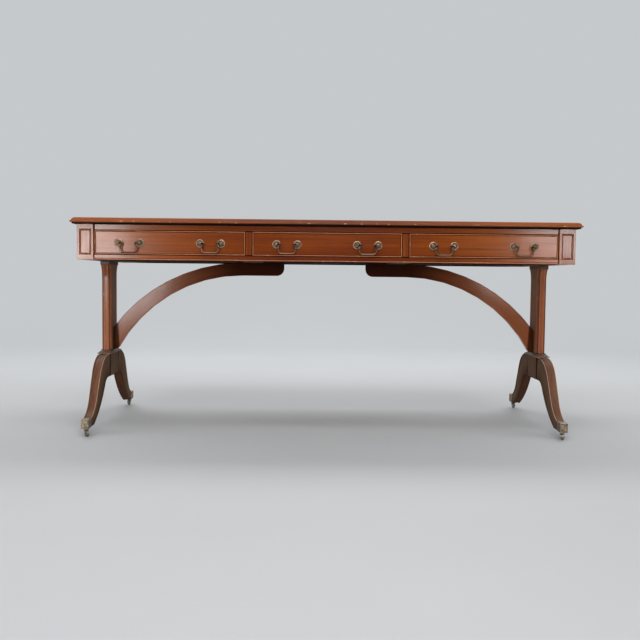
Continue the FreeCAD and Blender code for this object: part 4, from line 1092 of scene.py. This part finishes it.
for where in DRAWERS:
    mounts = []
    for side in SIDES:
        pivot = swings[f"bail_{where}_{side}"]
        for hand in SIDES.values():
            foot = np.array([pivot[0] + hand * POST_SPACING / 2, -face_y, pivot[2]])
            mounts.append(turned(ROSETTE, ROSETTE_WEAR, foot, (0, -1, 0)))
            mounts.append(turned(POST, POST_WEAR, foot, (0, -1, 0)))
            back = foot + (0, FRONT_THICKNESS, 0)
            mounts += eased_board(back - NUT * (0.5, 0, 0.5), back + NUT * (0.5, 1, 0.5), NUT_EASE)
    piece(f"drawer_{where}_rosettes_and_posts", mounts, handle_brass, f"drawer_{where}",
          f"drawer_{where}_handle_mounts")

# %% [markdown]
# ### Bails
#
# The bail is a rod on a flat curve, a little thicker in the bar that the fingers pull. A bevelled curve
# would give the rod. As a grid it can swell, and its front can be bright, partly rubbed and partly a painted
# highlight, while its sides and back are painted dark as shade.

# %% Swan-neck bails
BAIL_HALF = drawn((36.25, 0), (24.6, 0, 3), (22.4, -4.1), (27.6, -14.2, -12), (29, -20, -12), (17, -32),
                  (0, -32)) * MM
BAIL_ROD = 2.4 * MM
BAIL_SWELL = 0.5 * MM
# The sides and back are painted dark as shade; the front is bright, partly rubbed, partly painted highlight
BAIL_SIDE_SHADE, BAIL_FRONT_RUB_AND_HIGHLIGHT = 0.4, 1.3
# How strongly the ends are marked, by rubbing and painted light and shade, when the middle is fully marked
BAIL_END_SHARE = 0.4
ROD_STEPS = 17


def swan_neck(pivot):
    """A rod round a flat curve: point = curve + radius * (cosine * normal + sine * Y), where the radius
    swells as cosine squared of the way from the middle of the bar. The front, where sine is least, is
    bright, partly rubbed and partly a painted highlight, and the sides and back are painted dark as shade,
    both most in the middle."""
    curve = np.vstack([BAIL_HALF, BAIL_HALF[-2::-1] * (-1, 1)])
    along = np.gradient(curve, axis=0)
    along /= np.hypot(*along.T)[:, None]
    normal = np.stack([-along[:, 1], along[:, 0]], axis=1)
    swell = np.cos(np.linspace(-np.pi / 2, np.pi / 2, len(curve))) ** 2
    radius = (BAIL_ROD + BAIL_SWELL * swell)[:, None]
    turn = np.linspace(0, 2 * np.pi, ROD_STEPS)
    points = np.zeros((len(curve), len(turn), 3))
    points[..., 0] = curve[:, :1] + radius * np.cos(turn) * normal[:, :1]
    points[..., 2] = curve[:, 1:] + radius * np.cos(turn) * normal[:, 1:]
    points[..., 1] = radius * np.sin(turn)
    points += pivot
    marked_share = BAIL_END_SHARE + (1 - BAIL_END_SHARE) * swell[:, None]
    wear_and_painted_light = marked_share * (-BAIL_SIDE_SHADE - BAIL_FRONT_RUB_AND_HIGHLIGHT * np.sin(turn))
    return closed(points, wear_and_painted_light)


for body, pivot in swings.items():
    where, side = body.split("_")[1:]
    node = f"drawer_{where}_bail_{side}"
    piece(f"{node}_swan_neck", swan_neck(pivot), bail_brass, body, node)

# %% [markdown]
# ## Casters
#
# Each toe stands in a square brass box with a small wheel in a fork below. The boxes are cast, so their
# edges are soft and rubbed bright, and feet kick the front. The two sides are painted darker, as their
# shade. An eased board has that shape, and its first two sheets are the sides.

# %% Caster boxes
CUP_SIZE = np.array([27, 42, 34]) * MM
CUP_EASE = 1.3 * MM
# How much darker the two sides are painted, as shade
CUP_SIDE_SHADE = 0.6
cups = []
for corner, hand, out in CORNERS:
    outer = spot("caster_cups")[1] * (hand, out, 1)
    inner = outer - CUP_SIZE * (hand, out, 1)
    box = eased_board(np.minimum(outer, inner), np.maximum(outer, inner), CUP_EASE)
    cups += [sheet(part.points, part.wear_and_painted_light - CUP_SIDE_SHADE) for part in box[:2]] + box[2:]
piece("caster_cups_cast", cups, caster_brass, "table", "caster_cups")

# %% [markdown]
# ## CAD pieces that stay
#
# Drawer fronts, forks, wheels, drawer linings and the carcase inside are right as they are, so they only
# get their finish. The fronts are flat veneer, and the cock beads already cover their edges.

# %% Finishes for the CAD pieces
CARCASE = ("drawer_runners", "drawer_guides", "drawer_kickers", "end_bearer_left", "end_bearer_right")
for name, node in frame["nodes"].items():
    if name.startswith(("caster_fork", "caster_wheel")):
        finish = wheel_brass
    elif name.endswith("_front"):
        finish = front_mahogany
    elif name.endswith("_box"):
        finish = oak_lining
    elif name in CARCASE:
        finish = carcase_softwood
    elif name in ("bracket_bearer", "drawer_stops"):
        finish = shade_dark_softwood_bearer
    else:
        continue
    node.data.materials.clear()
    node.data.materials.append(finish)
    print(name, "in", finish.name)

# %% [markdown]
# ## Studio
#
# A pale floor sweeps up into a backdrop, as paper on a roll does. Close to the table it is plain matt paint
# that takes the shadow. Farther away it fades to one even grey, and the world has the same grey where the
# camera looks at it, so that the table stands in a pale room from every side. A brighter world would do
# that too, but would wash out the wood. Light Path tells the two apart: what the camera sees, straight or
# mirrored, is pale, and the light that falls on things stays dim.

# %% Floor and backdrop
PALE = "#c6c9cb"
FADES = (2.6, 5.0)
SWEEP_START = 3.1
SWEEP_RADIUS = 2.0
SWEEP_STEPS = 25
FLOOR_NEAR = -9.0
WALL_TOP = 7.0
STAGE_HALF = 18.0


def staged(name, points, finish):
    """A sheet of the studio, a grid of points that isn't part of the table."""
    mesh = bpy.data.meshes.new(name)
    mesh.from_pydata(points.reshape(-1, 3).tolist(), [], quads_of([sheet(points)]).tolist())
    mesh.shade_smooth()
    mesh.materials.append(finish)
    made = bpy.data.objects.new(name, mesh)
    bpy.context.scene.collection.objects.link(made)
    return made


def seen(tree):
    """1 for what the camera sees, straight or in a mirror or glass, and 0 for light that falls on things."""
    path = add(tree, "LightPath").outputs
    straight = add(tree, "Math", {0: path["Is Camera Ray"], 1: path["Is Glossy Ray"]}).outputs[0]
    either = add(tree, "Math", {0: straight, 1: path["Is Transmission Ray"]}, use_clamp=True)
    return either.outputs[0]


def backdrop_material():
    """Matt painted paper, pale grey with the faintest mottle. Far from the table, where no shadow falls, it
    fades to the even pale grey of the room."""
    paint, tree, shader = new_finish("matt_painted_backdrop")
    place = add(tree, "TexCoord").outputs["Object"]
    colour = layered(tree, "#bcbec0", (patch(tree, place, 900, 900), 1.0, "#c4c6c8"))
    tree.links.new(colour, shader.inputs["Base Color"])
    shader.inputs["Roughness"].default_value = 0.9
    away = add(tree, "VectorMath", {0: place}, operation="LENGTH").outputs["Value"]
    ends = {"Value": away, "From Min": FADES[0], "From Max": FADES[1]}
    far = add(tree, "MapRange", ends, interpolation_type="SMOOTHSTEP").outputs[0]
    share = add(tree, "Math", {0: far, 1: seen(tree)}, operation="MULTIPLY").outputs[0]
    even = add(tree, "Emission", {"Color": linear(PALE)})
    faded = add(tree, "MixShader", {0: share, 1: shader.outputs[0], 2: even.outputs[0]})
    tree.links.new(faded.outputs[0], tree.nodes["Material Output"].inputs["Surface"])
    return paint


turn = np.linspace(0, np.pi / 2, SWEEP_STEPS)
bend = np.stack([SWEEP_START + SWEEP_RADIUS * np.sin(turn), SWEEP_RADIUS * (1 - np.cos(turn))], axis=1)
side_view = np.vstack([[(FLOOR_NEAR, 0)], bend, [(SWEEP_START + SWEEP_RADIUS, WALL_TOP)]])
sweep = np.zeros((len(side_view), 2, 3))
sweep[..., 0] = (-STAGE_HALF, STAGE_HALF)
sweep[..., 1:] = side_view[:, None, :]
staged("studio_sweep", sweep, backdrop_material())
print("backdrop sweeps up from", SWEEP_START, "m behind the table")

# %% [markdown]
# ### A dark flag
#
# Polish mirrors what stands opposite. With a pale room all round, the drawer fronts would look milky. A
# photographer hangs a dark cloth, called a flag, behind the camera. This one is seen only in reflections:
# it takes no light away and throws no shadow.

# %% A dark flag
FLAG_Y, FLAG_HALF, FLAG_LOW, FLAG_TOP = -4.6, 9.0, 0.02, 5.5
cloth, _, cloth_shader = new_finish("black_cotton_flag")
cloth_shader.inputs["Base Color"].default_value = linear("#38393b")
cloth_shader.inputs["Roughness"].default_value = 1.0
hung = np.array([[(-FLAG_HALF, FLAG_Y, height), (FLAG_HALF, FLAG_Y, height)]
                 for height in (FLAG_LOW, FLAG_TOP)])
flag = staged("studio_flag", hung, cloth)
flag.visible_camera = False
flag.visible_diffuse = False
flag.visible_shadow = False
print("flag", FLAG_HALF * 2, "m wide behind the camera")

# %% [markdown]
# ### Lights
#
# Two low, wide softboxes stand left and right behind the camera, so that the ends of the frieze and the
# columns mirror them and the middle stays deep. A broad one over the camera lights everything softly, a
# small one near it makes the glints in the brass, and one over the backdrop keeps it even. Sun lamps would
# cast hard shadows. A softbox's strength is given as radiance, so that its size can change and its mirror
# image stays as bright.

# %% Lights


def softbox(name, place, aim, size, radiance):
    """A softbox of width and height in metres. Power is radiance times pi times its area."""
    lamp = bpy.data.lights.new(name, "AREA")
    lamp.shape = "RECTANGLE"
    lamp.size, lamp.size_y = size
    lamp.energy = radiance * np.pi * size[0] * size[1]
    stand = bpy.data.objects.new(name, lamp)
    stand.location = place
    stand.rotation_euler = (Vector(aim) - Vector(place)).to_track_quat("-Z", "Y").to_euler()
    stand.visible_camera = False
    bpy.context.scene.collection.objects.link(stand)


softbox("softbox_left", (-1.93, -3.3, 0.69), (0, 0, 0.69), (1.1, 0.66), 11.5)
softbox("softbox_right", (2.06, -3.3, 0.87), (0, 0, 0.87), (1.1, 0.38), 9.4)
softbox("softbox_over_camera", (0, -2.2, 3.2), (0, 0, 0.5), (3.6, 2.2), 3.5)
softbox("softbox_key", (0.1, -3.0, 1.5), (0, 0, 0.6), (0.45, 0.45), 15.0)
softbox("softbox_over_backdrop", (0, 1.8, 3.8), (0, 3.4, 0.2), (10.0, 2.4), 3.4)

world = bpy.data.worlds.new("studio_air")
bpy.context.scene.world = world
world.use_nodes = True
air = world.node_tree
around = layered(air, "#404244", (seen(air), 1.0, PALE))
air.links.new(around, air.nodes["Background"].inputs["Color"])
bpy.context.scene.view_settings.view_transform = "Standard"
print("five softboxes, and a dim grey world that looks pale")

# %% [markdown]
# ## Camera
#
# The camera's place, direction, slight roll and lens come from fitting the table's corners to a photograph
# of it: eye height a little under the top, a little left of the middle. The roll tips the right and upward
# directions, and a matrix of the three directions is simpler here than three angles.

# %% Camera
EYE = Vector((-0.06538, -3.18507, 0.57785))
YAW, PITCH, ROLL = 0.01506, 0.05501, 0.01032
FOCAL_PIXELS, FRAME_PIXELS, SENSOR = 802.94, 640, 36.0
ahead = Vector((np.sin(YAW) * np.cos(PITCH), np.cos(YAW) * np.cos(PITCH), -np.sin(PITCH)))
right = Vector((np.cos(YAW), -np.sin(YAW), 0))
over = right.cross(ahead)
right, over = right * np.cos(ROLL) + over * np.sin(ROLL), over * np.cos(ROLL) - right * np.sin(ROLL)
view = bpy.data.cameras.new("camera")
view.sensor_width = SENSOR
view.lens = SENSOR * FOCAL_PIXELS / FRAME_PIXELS
camera = bpy.data.objects.new("camera", view)
camera.matrix_world = Matrix.Translation(EYE) @ Matrix((right, over, -ahead)).transposed().to_4x4()
bpy.context.scene.collection.objects.link(camera)
bpy.context.scene.camera = camera
print("lens", round(view.lens, 2), "mm")
